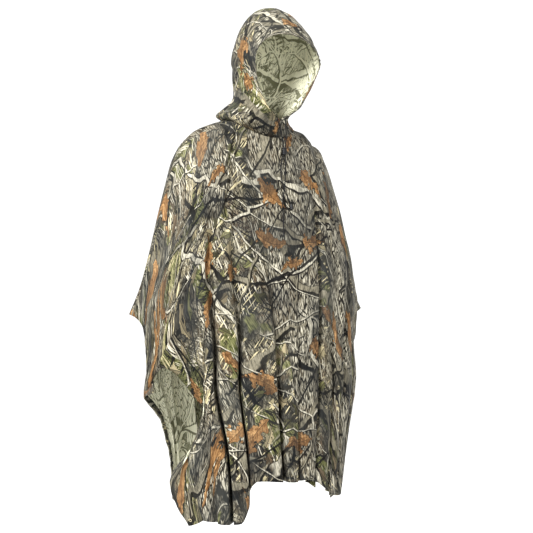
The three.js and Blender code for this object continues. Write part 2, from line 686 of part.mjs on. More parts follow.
function disc(radius, height, seat, direction, lift) {
  const middle = seat.clone().addScaledVector(direction, lift + height / 2);
  return placed(new THREE.CylinderGeometry(radius, radius, height, ROUND_STEPS), middle, direction);
}

function addSnap(name, panel, row, side, closed) {
  const outer = edgeFacet(panel, row, side, false);
  const inner = edgeFacet(panel, row, side, true);
  const inward = inner.normal.clone().negate();
  add(`${name}_cap`, disc(SNAP.capRadius, SNAP.capHeight, outer.middle, outer.normal, SNAP_GAP), plastic);
  const socket = disc(SNAP.socketRadius, SNAP.socketHeight, inner.middle, inward, SNAP_GAP);
  add(`${name}_socket`, socket, plastic);
  if (!closed) return;
  const lift = SNAP_GAP + SNAP.socketHeight + SEAM_GAP;
  add(`${name}_stud`, disc(SNAP.socketRadius, STUD_HEIGHT, inner.middle, inward, lift), plastic);
}

const wasm = await Module();
wasm.setup();

function toSolid(geometry) {
  const bare = geometry.clone();
  bare.deleteAttribute("normal");
  bare.deleteAttribute("uv");
  const merged = mergeVertices(bare, 1e-3);
  const vertProperties = new Float32Array(merged.attributes.position.array);
  const triVerts = new Uint32Array(merged.index.array);
  return new wasm.Manifold(new wasm.Mesh({ numProp: 3, vertProperties, triVerts }));
}

function toGeometry(solid) {
  const mesh = solid.getMesh();
  const geometry = new THREE.BufferGeometry();
  geometry.setAttribute("position", new THREE.Float32BufferAttribute(mesh.vertProperties, 3));
  geometry.setIndex(Array.from(mesh.triVerts));
  geometry.computeVertexNormals();
  return geometry;
}

// Panel wall with a hole for the eyelet in each lower corner
function panelGeometry(panel) {
  let solid = toSolid(wallGeometry(panel.grid, panel.normals, -panel.face));
  for (const side of [RIGHT, LEFT]) {
    const seat = edgeFacet(panel, EYELET_ROW, side, false);
    const cutter = disc(EYELET.hole, HOLE_LENGTH, seat.middle, seat.normal, -HOLE_LENGTH / 2);
    solid = solid.subtract(toSolid(cutter));
  }
  return toGeometry(solid);
}

function eyeletGeometry(seat) {
  const { bore, barrel, flange, flangeHeight, gap } = EYELET;
  const low = -WALL - 2 * gap;
  const profile = [
    [bore, low - flangeHeight],
    [flange, low - flangeHeight],
    [flange, low],
    [barrel, low],
    [barrel, gap],
    [flange, gap],
    [flange, gap + flangeHeight],
    [bore, gap + flangeHeight],
    [bore, low - flangeHeight],
  ].map(([x, y]) => new THREE.Vector2(x, y));
  return placed(new THREE.LatheGeometry(profile, ROUND_STEPS), seat.middle, seat.normal);
}

// Drawcord of the hood: two strands from the face opening to the lock, then two free tails
const CORD_RADIUS = 1.5;
const CORD_SIDES = 8;
const CORD_STEP = 10;
const CORD_LOCK = { x: 26, y: -92, z: -78, radius: 7, height: 20 };
const CORD_TOGGLE = { x: 27, y: -122.5, z: -229, radius: 4.5, height: 14 };
const CORD_STRANDS = [
  {
    name: "drawcord_strand_right",
    points: [[-10, -110.6, 6], [-2, -109.5, -14], [8, -104, -34], [17, -97.5, -52], [23, -92, -67.1]],
  },
  {
    name: "drawcord_strand_left",
    points: [[16.4, -110.6, 8], [19, -108.5, -12], [24, -103.5, -32], [27.5, -97, -51], [29, -92, -67.1]],
  },
  {
    name: "drawcord_tail_toggle",
    points: [
      [23.5, -92, -88.9],
      [17, -94.5, -104],
      [8.5, -100.5, -131],
      [7.5, -106.5, -158],
      [14, -113.5, -190],
      [23, -119, -212],
      [27, -122.5, -221.1],
    ],
  },
  {
    name: "drawcord_tail_free",
    points: [
      [28.5, -92, -88.9],
      [29.5, -93, -102],
      [23, -100.5, -135],
      [11.5, -114.5, -173],
      [2.5, -117.5, -212],
      [-1, -124.5, -255],
      [-5, -132.5, -305],
    ],
  },
];

function cordGeometry(points) {
  const path = new THREE.CatmullRomCurve3(points.map((row) => vector(...row)));
  const round = new THREE.Shape();
  for (let k = 0; k <= CORD_SIDES; k += 1) {
    const angle = (k / CORD_SIDES) * 2 * Math.PI;
    const x = CORD_RADIUS * Math.cos(angle);
    const y = CORD_RADIUS * Math.sin(angle);
    if (k === 0) round.moveTo(x, y);
    else if (k < CORD_SIDES) round.lineTo(x, y);
  }
  round.closePath();
  const steps = Math.ceil(path.getLength() / CORD_STEP);
  return new THREE.ExtrudeGeometry(round, { steps, bevelEnabled: false, extrudePath: path });
}

function barrelGeometry({ x, y, z, radius, height }) {
  const geometry = new THREE.CylinderGeometry(radius, radius, height, ROUND_STEPS);
  return geometry.rotateX(Math.PI / 2).translate(x, y, z);
}

const plastic = new THREE.MeshStandardMaterial({ color: 0x17181a, roughness: 0.5, metalness: 0 });
const brass = new THREE.MeshStandardMaterial({ color: 0xb9a67a, roughness: 0.3, metalness: 1 });
const cord = new THREE.MeshStandardMaterial({ color: 0x141414, roughness: 0.9, metalness: 0 });
const cloth = new THREE.MeshStandardMaterial({ color: 0x6b6653, roughness: 0.75, metalness: 0 });

const front = makePanel(-1, FRONT_TROUGHS, FRONT_ENDS, FRONT_HEM, FRONT_RIGHT_EDGE, FRONT_LEFT_EDGE);
const back = makePanel(1, BACK_TROUGHS, BACK_ENDS, BACK_HEM, BACK_RIGHT_EDGE, BACK_LEFT_EDGE);

const hoodRight = makeHood(RIGHT);
const hoodLeft = makeHood(LEFT);

const poncho = new THREE.Group();
function add(name, geometry, material) {
  const mesh = new THREE.Mesh(geometry, material);
  mesh.name = name;
  poncho.add(mesh);
  return mesh;
}
add("front_panel", panelGeometry(front), cloth);
add("back_panel", panelGeometry(back), cloth);
add("hood_right", wallGeometry(hoodRight.grid, hoodRight.normals, LEFT), cloth);
add("hood_left", wallGeometry(hoodLeft.grid, hoodLeft.normals, RIGHT), cloth);

const SIDES = [["right", RIGHT], ["left", LEFT]];
for (const [sideName, side] of SIDES) {
  for (const [panelName, panel] of [["front", front], ["back", back]]) {
    addSnap(`snap_${panelName}_${sideName}_second`, panel, SNAP_ROWS[panelName].second, side, false);
    addSnap(`snap_${panelName}_${sideName}_third`, panel, SNAP_ROWS[panelName].third, side, false);
    const corner = edgeFacet(panel, EYELET_ROW, side, false);
    add(`eyelet_${panelName}_${sideName}`, eyeletGeometry(corner), brass);
  }
  addSnap(`snap_front_${sideName}_first`, front, SNAP_ROWS.front.first, side, true);
}

for (const { name, points } of CORD_STRANDS) add(name, cordGeometry(points), cord);
add("cord_lock", barrelGeometry(CORD_LOCK), plastic);
add("cord_toggle", barrelGeometry(CORD_TOGGLE), plastic);

export default poncho;
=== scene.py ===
import json
import math

import bmesh
import bpy
import numpy as np
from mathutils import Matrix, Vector

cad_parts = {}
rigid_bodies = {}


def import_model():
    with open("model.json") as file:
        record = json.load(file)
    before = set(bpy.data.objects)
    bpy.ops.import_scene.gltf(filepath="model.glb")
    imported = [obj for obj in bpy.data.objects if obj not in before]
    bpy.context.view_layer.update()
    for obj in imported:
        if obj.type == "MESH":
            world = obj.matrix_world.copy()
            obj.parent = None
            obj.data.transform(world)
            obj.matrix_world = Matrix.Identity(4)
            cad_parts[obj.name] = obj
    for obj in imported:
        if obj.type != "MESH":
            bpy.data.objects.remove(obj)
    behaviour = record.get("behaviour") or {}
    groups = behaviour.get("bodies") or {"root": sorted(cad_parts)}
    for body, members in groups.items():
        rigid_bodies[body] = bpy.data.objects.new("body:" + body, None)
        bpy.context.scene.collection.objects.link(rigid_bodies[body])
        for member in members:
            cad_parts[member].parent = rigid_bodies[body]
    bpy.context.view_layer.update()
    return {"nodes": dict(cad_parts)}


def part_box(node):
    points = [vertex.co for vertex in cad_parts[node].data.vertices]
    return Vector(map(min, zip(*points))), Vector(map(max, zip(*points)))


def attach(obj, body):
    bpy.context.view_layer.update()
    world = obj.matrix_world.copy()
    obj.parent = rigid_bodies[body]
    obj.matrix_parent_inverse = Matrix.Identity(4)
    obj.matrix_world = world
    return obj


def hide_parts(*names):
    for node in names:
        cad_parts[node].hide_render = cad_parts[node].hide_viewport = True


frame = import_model()
MM = 0.001

# Seen from the wearer's right front, level with the middle of the cloth
VIEW_TURN = -35.0
EYE = (-1.8141, -2.6363, -0.3891)
FOCAL = 78.6
SENSOR = 36.0


def link(name, data):
    obj = bpy.data.objects.new(name, data)
    bpy.context.scene.collection.objects.link(obj)
    return obj


camera = link("camera", bpy.data.cameras.new("camera"))
camera.data.lens = FOCAL
camera.data.sensor_width = SENSOR
camera.location = EYE
camera.rotation_euler = (math.radians(90), 0, math.radians(VIEW_TURN))
bpy.context.scene.camera = camera

# Colours of the plain materials
BLACK_PLASTIC = (0.012, 0.012, 0.013, 1)
SCUFFED_PLASTIC = (0.05, 0.05, 0.052, 1)
BLACK_CORD = (0.010, 0.010, 0.011, 1)
WORN_CORD = (0.018, 0.018, 0.019, 1)
BRASS = (0.62, 0.55, 0.38, 1)
TARNISHED_BRASS = (0.28, 0.23, 0.14, 1)
DARK_THREAD = (0.05, 0.046, 0.032, 1)
PALE_THREAD = (0.13, 0.12, 0.085, 1)
PALE_FLOOR = (0.86, 0.86, 0.85, 1)
WHITE = (1, 1, 1, 1)


class Nodes:
    """Short way to write a material's nodes."""

    def __init__(self, name):
        self.material = bpy.data.materials.new(name)
        self.material.use_nodes = True
        self.tree = self.material.node_tree
        self.shader = self.tree.nodes["Principled BSDF"]

    def set(self, socket, value):
        if isinstance(value, bpy.types.NodeSocket):
            self.tree.links.new(value, socket)
        else:
            socket.default_value = value

    def add(self, kind, inputs=(), **settings):
        node = self.tree.nodes.new(kind)
        for name, value in settings.items():
            setattr(node, name, value)
        for key, value in dict(inputs).items():
            self.set(node.inputs[key], value)
        return node

    def math(self, operation, a, b=0.0, c=0.0):
        node = self.add("ShaderNodeMath", {0: a, 1: b, 2: c}, operation=operation)
        return node.outputs[0]

    def vector(self, operation, a, b):
        node = self.add("ShaderNodeVectorMath", {0: a, 1: b}, operation=operation)
        return node.outputs[0]

    def step(self, value, low, high, smooth=True):
        kind = "SMOOTHSTEP" if smooth else "LINEAR"
        inputs = {"Value": value, "From Min": low, "From Max": high}
        return self.add("ShaderNodeMapRange", inputs, interpolation_type=kind).outputs[0]

    def rest(self, value):
        return self.math("SUBTRACT", 1.0, value)

    def mix(self, share, a, b):
        node = self.add("ShaderNodeMix", data_type="RGBA")
        self.set(node.inputs["Factor"], share)
        self.set(node.inputs[6], a)
        self.set(node.inputs[7], b)
        return node.outputs[2]

    def both(self, a, b):
        return self.math("MULTIPLY", a, b)

    def over(self, colour, other, mask, share):
        """Lays another colour on where the mask is 1, at a share of its strength."""
        return self.mix(self.both(mask, share), colour, other)

    def where(self, kind):
        return self.add("ShaderNodeTexCoord").outputs[kind]

    def parts(self, vector):
        return self.add("ShaderNodeSeparateXYZ", {0: vector}).outputs

    def noise(self, vector, scale, detail=2.0, rough=0.5):
        inputs = {"Vector": vector, "Scale": scale, "Detail": detail, "Roughness": rough}
        return self.add("ShaderNodeTexNoise", inputs, noise_dimensions="2D").outputs[0]

    def cells(self, vector, scale, feature="F1", random=1.0):
        inputs = {"Vector": vector, "Scale": scale, "Randomness": random}
        return self.add("ShaderNodeTexVoronoi", inputs, feature=feature, voronoi_dimensions="2D").outputs

    def cracks(self, vector, scale):
        """Distance from the borders between cells, in cells."""
        return self.cells(vector, scale, "DISTANCE_TO_EDGE")["Distance"]

    def place(self, vector, stretch=(1, 1), turn=0.0, move=(0, 0)):
        """Moves, turns and then lengthens what is drawn with the vector."""
        inputs = {
            "Vector": vector,
            "Location": (*move, 0),
            "Rotation": (0, 0, turn),
            "Scale": (*stretch, 1),
        }
        return self.add("ShaderNodeMapping", inputs, vector_type="TEXTURE").outputs[0]

    def wander(self, vector, scale, reach):
        """Shifts the vector by a slow noise, by up to about half the reach either way."""
        shift = self.add("ShaderNodeTexNoise", {"Vector": vector, "Scale": scale}).outputs[1]
        centred = self.vector("SUBTRACT", shift, (0.5, 0.5, 0.5))
        return self.vector("ADD", vector, self.vector("MULTIPLY", centred, (*reach, 0)))

    def bump(self, height, distance, strength, **normal):
        inputs = {"Height": height, "Distance": distance, "Strength": strength, **normal}
        return self.add("ShaderNodeBump", inputs).outputs[0]

    def surface(self, values):
        """Sets the shader's inputs by name and gives the material."""
        for name, value in values.items():
            self.set(self.shader.inputs[name], value)
        return self.material


def cord_material():
    """Braided black cord."""
    n = Nodes("cord_braid")
    where = n.where("Object")
    waves = {"Vector": where, "Scale": 380.0, "Distortion": 1.5}
    braid = n.add("ShaderNodeTexWave", waves, bands_direction="DIAGONAL")
    fleck = n.noise(where, 900.0)
    return n.surface({
        "Base Color": n.mix(n.step(fleck, 0.4, 0.7), BLACK_CORD, WORN_CORD),
        "Roughness": n.step(fleck, -0.5, 1.2, False),
        "Normal": n.bump(braid.outputs[1], 0.0004, 0.8),
        "Sheen Weight": 0.03,
        "Specular IOR Level": 0.12,
    })


def plastic_material():
    """Moulded black plastic with a fine grain and light scuffs."""
    n = Nodes("moulded_plastic")
    where = n.where("Object")
    grain = n.noise(where, 1600.0, 3)
    scuff = n.noise(where, 260.0, 4, 0.7)
    worn = n.step(scuff, 0.58, 0.75)
    return n.surface({
        "Base Color": n.mix(worn, BLACK_PLASTIC, SCUFFED_PLASTIC),
        "Roughness": n.math("MULTIPLY_ADD", worn, 0.25, 0.34),
        "Normal": n.bump(grain, 0.0001, 0.3),
        "Specular IOR Level": 0.25,
    })


def brass_material():
    """Plated metal, bright with a little tarnish."""
    n = Nodes("plated_metal")
    where = n.where("Object")
    tarnish = n.step(n.noise(where, 300.0, 5, 0.65), 0.45, 0.7)
    return n.surface({
        "Base Color": n.mix(tarnish, BRASS, TARNISHED_BRASS),
        "Roughness": n.math("MULTIPLY_ADD", tarnish, 0.3, 0.22),
        "Metallic": 1.0,
    })


def thread_material():
    """Twisted sewing thread."""
    n = Nodes("sewing_thread")
    twist = n.noise(n.where("Object"), 1400.0, 2)
    return n.surface({
        "Base Color": n.mix(twist, DARK_THREAD, PALE_THREAD),
        "Roughness": n.math("MULTIPLY_ADD", twist, 0.2, 0.6),
        "Normal": n.bump(twist, 0.0001, 0.6),
    })


CORD = cord_material()
PLASTIC = plastic_material()
METAL = brass_material()
THREAD = thread_material()

CORD_DIAMETER = 0.003
CORD_POINTS = 24
CORD_ROUTES = {
    "drawcord_strand_right": [
        (-10, -110.6, 6), (-2, -109.5, -14), (8, -104, -34), (17, -97.5, -52), (23, -92, -67.1)
    ],
    "drawcord_strand_left": [
        (16.4, -110.6, 8), (19, -108.5, -12), (24, -103.5, -32), (27.5, -97, -51), (29, -92, -67.1)
    ],
    "drawcord_tail_toggle": [
        (23.5, -92, -88.9), (17, -94.5, -104), (8.5, -100.5, -131), (7.5, -106.5, -158),
        (14, -113.5, -190), (23, -119, -212), (27, -122.5, -221.1),
    ],
    "drawcord_tail_free": [
        (28.5, -92, -88.9), (29.5, -93, -102), (23, -100.5, -135), (11.5, -114.5, -173),
        (2.5, -117.5, -212), (-1, -124.5, -255), (-5, -132.5, -305),
    ],
}


def length_run(line):
    """Lengths along a line of points, from 0 at the first."""
    return np.concatenate([[0], np.cumsum(np.linalg.norm(np.diff(line, axis=0), axis=1))])


def at_length(line, run, at):
    """What a line's rows hold at a length along it."""
    return np.array([np.interp(at, run, line[:, k]) for k in range(3)])


def smooth_route(points, count):
    """Even points on the curve through the given ones, spaced by the root of their distance."""
    rows = [np.array(p, float) for p in points]
    rows = [2 * rows[0] - rows[1], *rows, 2 * rows[-1] - rows[-2]]
    dense = []
    for a, b, c, d in zip(rows, rows[1:], rows[2:], rows[3:]):
        gaps = [math.sqrt(np.linalg.norm(q - p)) for p, q in ((a, b), (b, c), (c, d))]
        out = gaps[1] * ((b - a) / gaps[0] - (c - a) / (gaps[0] + gaps[1]) + (c - b) / gaps[1])
        back = gaps[1] * ((c - b) / gaps[1] - (d - b) / (gaps[1] + gaps[2]) + (d - c) / gaps[2])
        for f in np.linspace(0, 1, 20, endpoint=False):
            dense.append(
                (2 * f**3 - 3 * f**2 + 1) * b + (f**3 - 2 * f**2 + f) * out
                + (3 * f**2 - 2 * f**3) * c + (f**3 - f**2) * back
            )
    dense.append(rows[-2])
    dense = np.array(dense)
    run = length_run(dense)
    return at_length(dense, run, np.linspace(0, run[-1], count)).T, run[-1]


def make_cord(name, points):
    route, length = smooth_route(points, CORD_POINTS)
    curve = bpy.data.curves.new(name, "CURVE")
    curve.dimensions = "3D"
    curve.bevel_depth = CORD_DIAMETER / 2
    curve.bevel_resolution = 3
    curve.use_fill_caps = True
    spline = curve.splines.new("POLY")
    spline.points.add(CORD_POINTS - 1)
    for point, place in zip(spline.points, route):
        point.co = (*(place * MM), 1)
    obj = link(name + "_braid", curve)
    curve.materials.append(CORD)
    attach(obj, "root")
    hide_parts(name)
    return obj, tuple(route[0] * MM), length * MM


cords = {name: make_cord(name, points) for name, points in CORD_ROUTES.items()}

# The same named sizes as the solids, in mm: neck seam, arm line, worn outline, folds and edges
RIGHT, LEFT = -1, 1
FRONT, BACK = -1, 1
NECK_HALF, NECK_FRONT, NECK_BACK, NECK_MID_Y, NECK_SIDE_Z = 105, 88, 68, 8, 6
NECK_FRONT_DROP, NECK_NAPE_RISE = 48, 10
NECK_OUT, NECK_UP = 0.43, 0.9

ARM_LINE = np.array([
    (105, 8, 6), (140, 20, -6), (183, 30, -26), (211, 34, -52), (241, 36, -100), (262, 36, -160),
    (281, 34, -220), (305, 32, -300), (328, 29, -373), (353, 25, -446), (386, 20, -512),
], float)

# Worn outline: height, half width right and left, middle Y, depth front and back
RINGS = np.array([
    (20, 112, 112, 8, 88, 68), (-15, 150, 150, 20, 96, 74), (-50, 206, 206, 32, 108, 78),
    (-100, 238, 238, 36, 124, 86), (-150, 256, 256, 36, 138, 92), (-220, 277, 277, 34, 150, 99),
    (-300, 300, 300, 32, 160, 109), (-373, 322, 320, 29, 167, 119), (-450, 336, 330, 25, 172, 129),
    (-514, 338, 326, 21, 177, 138), (-560, 334, 320, 19, 180, 145), (-610, 330, 316, 18, 182, 151),
    (-700, 332, 318, 15, 185, 160), (-780, 308, 303, 13, 188, 167), (-850, 284, 285, 11, 191, 173),
    (-950, 264, 264, 9, 194, 181), (-1090, 250, 240, 5, 198, 190),
], float)
RING_POWER = 2.12
CHEST, WAIST = 0.2, 0.55

# Folds, by their troughs: place along the top, angle at chest, waist and hem in degrees,
# depth and mouth in mm, share of the drop where the fold starts, sideways lean in mm
FRONT_TROUGHS = np.array([
    (-1.72, -73, -63, -68, 14, 30, 0.03, -4), (-1.34, -57, -51, -56, 14, 26, 0.1, 4),
    (-1.06, -44, -40, -44, 46, 13, 0, 6), (-0.72, -31, -27, -31, 46, 13, 0.1, 8),
    (-0.22, -8, -7, -7.5, 30, 16, 0.22, 6), (0.3, 11, 6, 3, 14, 20, 0.3, -4),
    (1.07, 29, 20.5, 15, 46, 16, 0, -8), (1.26, 41, 30, 28, 14, 22, 0.08, 4),
    (1.48, 54, 40, 41, 24, 18, 0.06, -6), (1.68, 66, 56, 56, 14, 22, 0.05, 4),
    (1.86, 79, 73, 73, 12, 24, 0.04, 4),
], float)
BACK_TROUGHS = np.array([
    (-1.72, -73, -48, -58, 6, 30, 0.04, 0), (-1.34, -54, -37, -44, 18, 28, 0.06, -4),
    (-1.06, -37, -27, -31, 50, 24, 0.02, 8), (-0.72, -23, -15, -17, 36, 24, 0.18, -6),
    (-0.22, -8, -4, -3, 48, 26, 0.24, 8), (0.3, 11, 11, 13, 40, 24, 0.16, -8),
    (1.07, 30, 25, 27, 50, 26, 0, 10), (1.26, 42, 37, 38, 36, 24, 0.08, -6),
    (1.48, 55, 49, 49, 42, 22, 0.06, 6), (1.68, 66, 60, 60, 26, 20, 0.05, -4),
    (1.86, 78, 71, 71, 14, 20, 0.04, 2),
], float)
FRONT_ENDS = ((-2, -89, -76, -80), (2, 89, 87, 86))
BACK_ENDS = ((-2, -89, -60, -72), (2, 89, 80, 80))

FRONT_HEM = np.array([
    (-90, -1072), (-78, -1066), (-64, -1048), (-50, -1052), (-38, -1050), (-35.5, -1040),
    (-32, -1006), (-30, -960), (-26, -944), (-8, -951), (2, -954), (10, -948),
    (14, -956), (22, -980), (30, -998), (45, -1016), (60, -1006), (72, -1014),
    (90, -1054),
], float)
BACK_HEM = np.array([
    (-90, -1052), (-70, -1046), (-45, -1020), (-20, -1000), (0, -992), (25, -990), (50, -992),
    (70, -1010), (90, -1044),
], float)

# Side edges: x, y, z in mm at these shares of the drop
EDGE_SHARES = (0, 0.03, 0.1, 0.2, 0.31, 0.37, 0.44, 0.51, 0.58, 0.65, 0.72, 0.79, 0.86, 0.93, 1)
FRONT_RIGHT_EDGE = np.array([
    (-386, 20, -512), (-374, 4, -522), (-363, -10, -545), (-354, -8, -600), (-345, 2, -665),
    (-344, 7, -712), (-306, -26, -650), (-226, -40, -730), (-192, -48, -796), (-216, -40, -842),
    (-250, -28, -888), (-276, -12, -926), (-278, -4, -964), (-262, -12, -1016), (-238, -32, -1066),
], float)
BACK_RIGHT_EDGE = np.array([
    (-386, 20, -512), (-360, 31, -522), (-334, 37, -545), (-326, 36, -600), (-332, 14, -665),
    (-331, -7, -712), (-304, 90, -738), (-270, 106, -772), (-242, 110, -806), (-230, 106, -850),
    (-220, 98, -900), (-218, 92, -944), (-216, 84, -984), (-210, 76, -1020), (-203, 66, -1048),
], float)
FRONT_LEFT_EDGE = np.array([
    (386, 20, -512), (356, 3, -522), (341, -12, -545), (334, -8, -600), (326, 2, -665), (326, 7, -712),
    (316, -12, -742), (301, -26, -786), (290, -26, -828), (284, -20, -866), (278, -14, -904),
    (272, -10, -942), (265, -6, -980), (259, -6, -1016), (251, -6, -1052),
], float)
BACK_LEFT_EDGE = np.array([
    (386, 20, -512), (362, 36, -520), (340, 42, -545), (324, 42, -600), (313, 14, -665),
    (313, -7, -712), (304, 36, -742), (288, 54, -786), (277, 60, -828), (269, 64, -868),
    (262, 64, -908), (256, 62, -944), (250, 58, -976), (245, 54, -1006), (240, 50, -1032),
], float)
EDGE_REACH_FRONT_RIGHT, EDGE_REACH = 2.2, 1.4

TROUGH_STEPS = [-0.62, -0.3, 0, 0.3, 0.62, 1]
TROUGH_SHARE = 0.62
RIDGE_PUFF = 3
MM_PER_DEGREE = 4.3
# Where a fold is full, how much of its width its mouth may take, and how its sides curve
FOLD_FULL, MOUTH_LIMIT, MOUTH_POWER = 0.8, 0.8, 1.3
# How fast the cloth leaves the arm line and the neck seam for the worn outline
JOIN_POWER, LIFT_POWER = 1.6, 6


def read(keys, values, at):
    """Smooth curve through the rows of a table. values may differ from point to point."""
    keys = np.asarray(keys, float)
    at = np.asarray(at, float)
    rows = np.stack([np.broadcast_to(np.asarray(v, float), at.shape) for v in values])
    last = len(keys) - 1
    low = np.maximum(np.arange(last + 1) - 1, 0)
    high = np.minimum(np.arange(last + 1) + 1, last)
    spans = (keys[high] - keys[low]).reshape((-1,) + (1,) * at.ndim)
    slopes = (rows[high] - rows[low]) / spans
    held = np.clip(at, keys[0], keys[-1])
    i = np.clip(np.searchsorted(keys, held, side="left") - 1, 0, last - 1)

    def pick(table, k):
        return np.take_along_axis(table, k[None], 0)[0]

    span = keys[i + 1] - keys[i]
    f = (held - keys[i]) / span
    return (
        (2 * f**3 - 3 * f**2 + 1) * pick(rows, i)
        + (f**3 - 2 * f**2 + f) * span * pick(slopes, i)
        + (3 * f**2 - 2 * f**3) * pick(rows, i + 1)
        + (f**3 - f**2) * span * pick(slopes, i + 1)
    )


def mix(a, b, f):
    return a + (b - a) * f


def ramp(f):
    g = np.clip(f, 0, 1)
    return g * g * (3 - 2 * g)


def unit(v):
    return v / np.maximum(np.linalg.norm(v, axis=-1, keepdims=True), 1e-9)


def neck_point(turn, side):
    c, s = np.cos(np.radians(turn)), np.sin(np.radians(turn))
    depth = np.where(c > 0, NECK_FRONT, NECK_BACK)
    rise = np.where(c > 0, -NECK_FRONT_DROP, NECK_NAPE_RISE)
    return np.stack([side * NECK_HALF * s, NECK_MID_Y - depth * c, NECK_SIDE_Z + rise * c * c], -1)


def neck_normal(turn, side):
    c, s = np.cos(np.radians(turn)), np.sin(np.radians(turn))
    up = np.full_like(s, NECK_UP)
    return unit(np.stack([side * NECK_OUT * s, -NECK_OUT * c, up], -1))


ARM_SHARE = length_run(ARM_LINE)
ARM_SHARE /= ARM_SHARE[-1]


def arm_point(share, side):
    x, y, z = (read(ARM_SHARE, ARM_LINE[:, k], share) for k in range(3))
    return np.stack([side * x, y, z], -1)


def arm_normal(share, side):
    a = arm_point(np.maximum(share - 0.01, 0), side)
    b = arm_point(np.minimum(share + 0.01, 1), side)
    along = b - a
    return unit(np.stack([-along[..., 2] * side, 0 * along[..., 1], along[..., 0] * side], -1))


def top_point(top, face):
    side = np.where(top < 0, -1.0, 1.0)
    share = np.abs(top)
    turn = 90 * share if face < 0 else 180 - 90 * share
    on_neck = neck_point(turn, side)
    on_arm = arm_point(np.clip(share - 1, 0, 1), side)
    return np.where((share < 1)[..., None], on_neck, on_arm)


def top_normal(top, face):
    side = np.where(top < 0, -1.0, 1.0)
    share = np.abs(top)
    turn = 90 * share if face < 0 else 180 - 90 * share
    on_arm = arm_normal(np.clip(share - 1, 0, 1), side)
    return np.where((share < 1)[..., None], neck_normal(turn, side), on_arm)


def ring_half(z, right):
    drops = -RINGS[:, 0]
    return np.where(right, read(drops, RINGS[:, 1], -z), read(drops, RINGS[:, 2], -z))


def ring_y(z, x, face):
    drops = -RINGS[:, 0]
    part = np.minimum(np.abs(x / ring_half(z, x < 0)), 1)
    depth = read(drops, RINGS[:, 4 if face < 0 else 5], -z)
    middle = read(drops, RINGS[:, 3], -z)
    return middle + face * depth * (1 - part**RING_POWER) ** (1 / RING_POWER)


def ring_point(z, angle, face):
    x = ring_half(z, angle < 0) * np.sin(np.radians(angle))
    return np.stack([x, ring_y(z, x, face), z], -1)


def ring_normal(z, angle, face):
    a = ring_point(z, np.maximum(angle - 2, -89.9), face)
    b = ring_point(z, np.minimum(angle + 2, 89.9), face)
    d = b - a
    return unit(np.stack([-d[..., 1] * face, d[..., 0] * face, 0 * d[..., 0]], -1))


class Panel:
    """One half of the cloth, from the neck and the arm line down to its hem."""

    def __init__(self, face, troughs, ends, hem, right_edge, left_edge, right_reach):
        self.face = face
        self.troughs = troughs
        middles = (troughs[1:, :4] + troughs[:-1, :4]) / 2
        self.ridges = np.vstack([ends[0], middles, ends[1]])
        self.hem = hem
        self.edges = ((right_edge, 0.0, right_reach), (left_edge, float(len(troughs)), EDGE_REACH))
        places, tops = [0.0], [float(self.ridges[0][0])]
        for k in range(len(troughs)):
            for step in TROUGH_STEPS:
                shore = self.ridges[k if step < 0 else k + 1][0]
                places.append(k + 0.5 + step / 2)
                tops.append(float(mix(troughs[k][0], shore, abs(step))))
        self.places, self.tops = np.array(places), np.array(tops)
        for target in (-1, 0, 1):
            self.tops[np.argmin(np.abs(self.tops - target))] = target

    def hanging(self, place, t):
        """Outer face before the side edges settle. place and t are arrays of one shape."""
        k = np.clip(np.floor(place).astype(int), 0, len(self.troughs) - 1)
        step = (place - k - 0.5) * 2
        far = np.abs(step)
        bottom = self.troughs[k]
        shore = self.ridges[np.where(step < 0, k, k + 1)]
        depth, mouth, start, lean = (bottom[..., j] for j in (4, 5, 6, 7))
        gather = ramp((t - start) / (FOLD_FULL - start))
        width = np.abs(shore[..., 3] - bottom[..., 3]) * MM_PER_DEGREE
        narrow = np.minimum(mouth / 2 / width, MOUTH_LIMIT)
        inner = narrow * (np.minimum(far / TROUGH_SHARE, 1)) ** MOUTH_POWER
        outer = narrow + ((far - TROUGH_SHARE) / (1 - TROUGH_SHARE)) * (1 - narrow)
        tight = np.where(far < TROUGH_SHARE, inner, outer)

        def angle_at(drop, share):
            rows = [mix(bottom[..., j], shore[..., j], share) for j in (1, 2, 3)]
            return read((CHEST, WAIST, 1), rows, drop)

        angle = angle_at(t, mix(far, tight, gather))
        hem_angle = angle_at(np.ones_like(t), tight)
        top = top_point(np.interp(place, self.places, self.tops), self.face)
        z = mix(top[..., 2], read(self.hem[:, 0], self.hem[:, 1], hem_angle), t)
        point = ring_point(z, angle, self.face)
        normal = ring_normal(z, angle, self.face)
        dip = np.where(far < TROUGH_SHARE, np.cos((math.pi / 2) * far / TROUGH_SHARE) ** 2, 0)
        puff = ramp((far - TROUGH_SHARE) / (1 - TROUGH_SHARE))
        point += normal * (gather * (RIDGE_PUFF * puff - depth * dip))[..., None]
        along = np.stack([normal[..., 1], -normal[..., 0], 0 * dip], -1) * self.face
        point += along * (gather * lean * dip)[..., None]
        join = np.maximum(0, 1 - t / CHEST)
        point[..., 0] = mix(point[..., 0], top[..., 0], join**JOIN_POWER)
        on_top = ring_y(z, point[..., 0], self.face)
        lift = (top[..., 1] - ring_y(top[..., 2], top[..., 0], self.face)) * join**LIFT_POWER
        high = mix(point[..., 1], on_top, join**JOIN_POWER) + lift
        point[..., 1] = np.where(t < CHEST, high, point[..., 1])
        return point

    def grid(self, places, shares):
        place, t = np.meshgrid(places, shares)
        point = self.hanging(place, t)
        for edge, end, reach in self.edges:
            pull = ramp(1 - np.abs(place - end) / reach)
            row = np.array(shares, float)
            target = np.stack([read(EDGE_SHARES, edge[:, k], row) for k in range(3)], -1)
            shift = target - self.hanging(np.full_like(row, end), row)
            point += shift[:, None, :] * pull[..., None]
        return point


def grid_normals(grid, flip):
    down = np.gradient(grid, axis=0)
    across = np.gradient(grid, axis=1)
    return unit(np.cross(across, down)) * flip


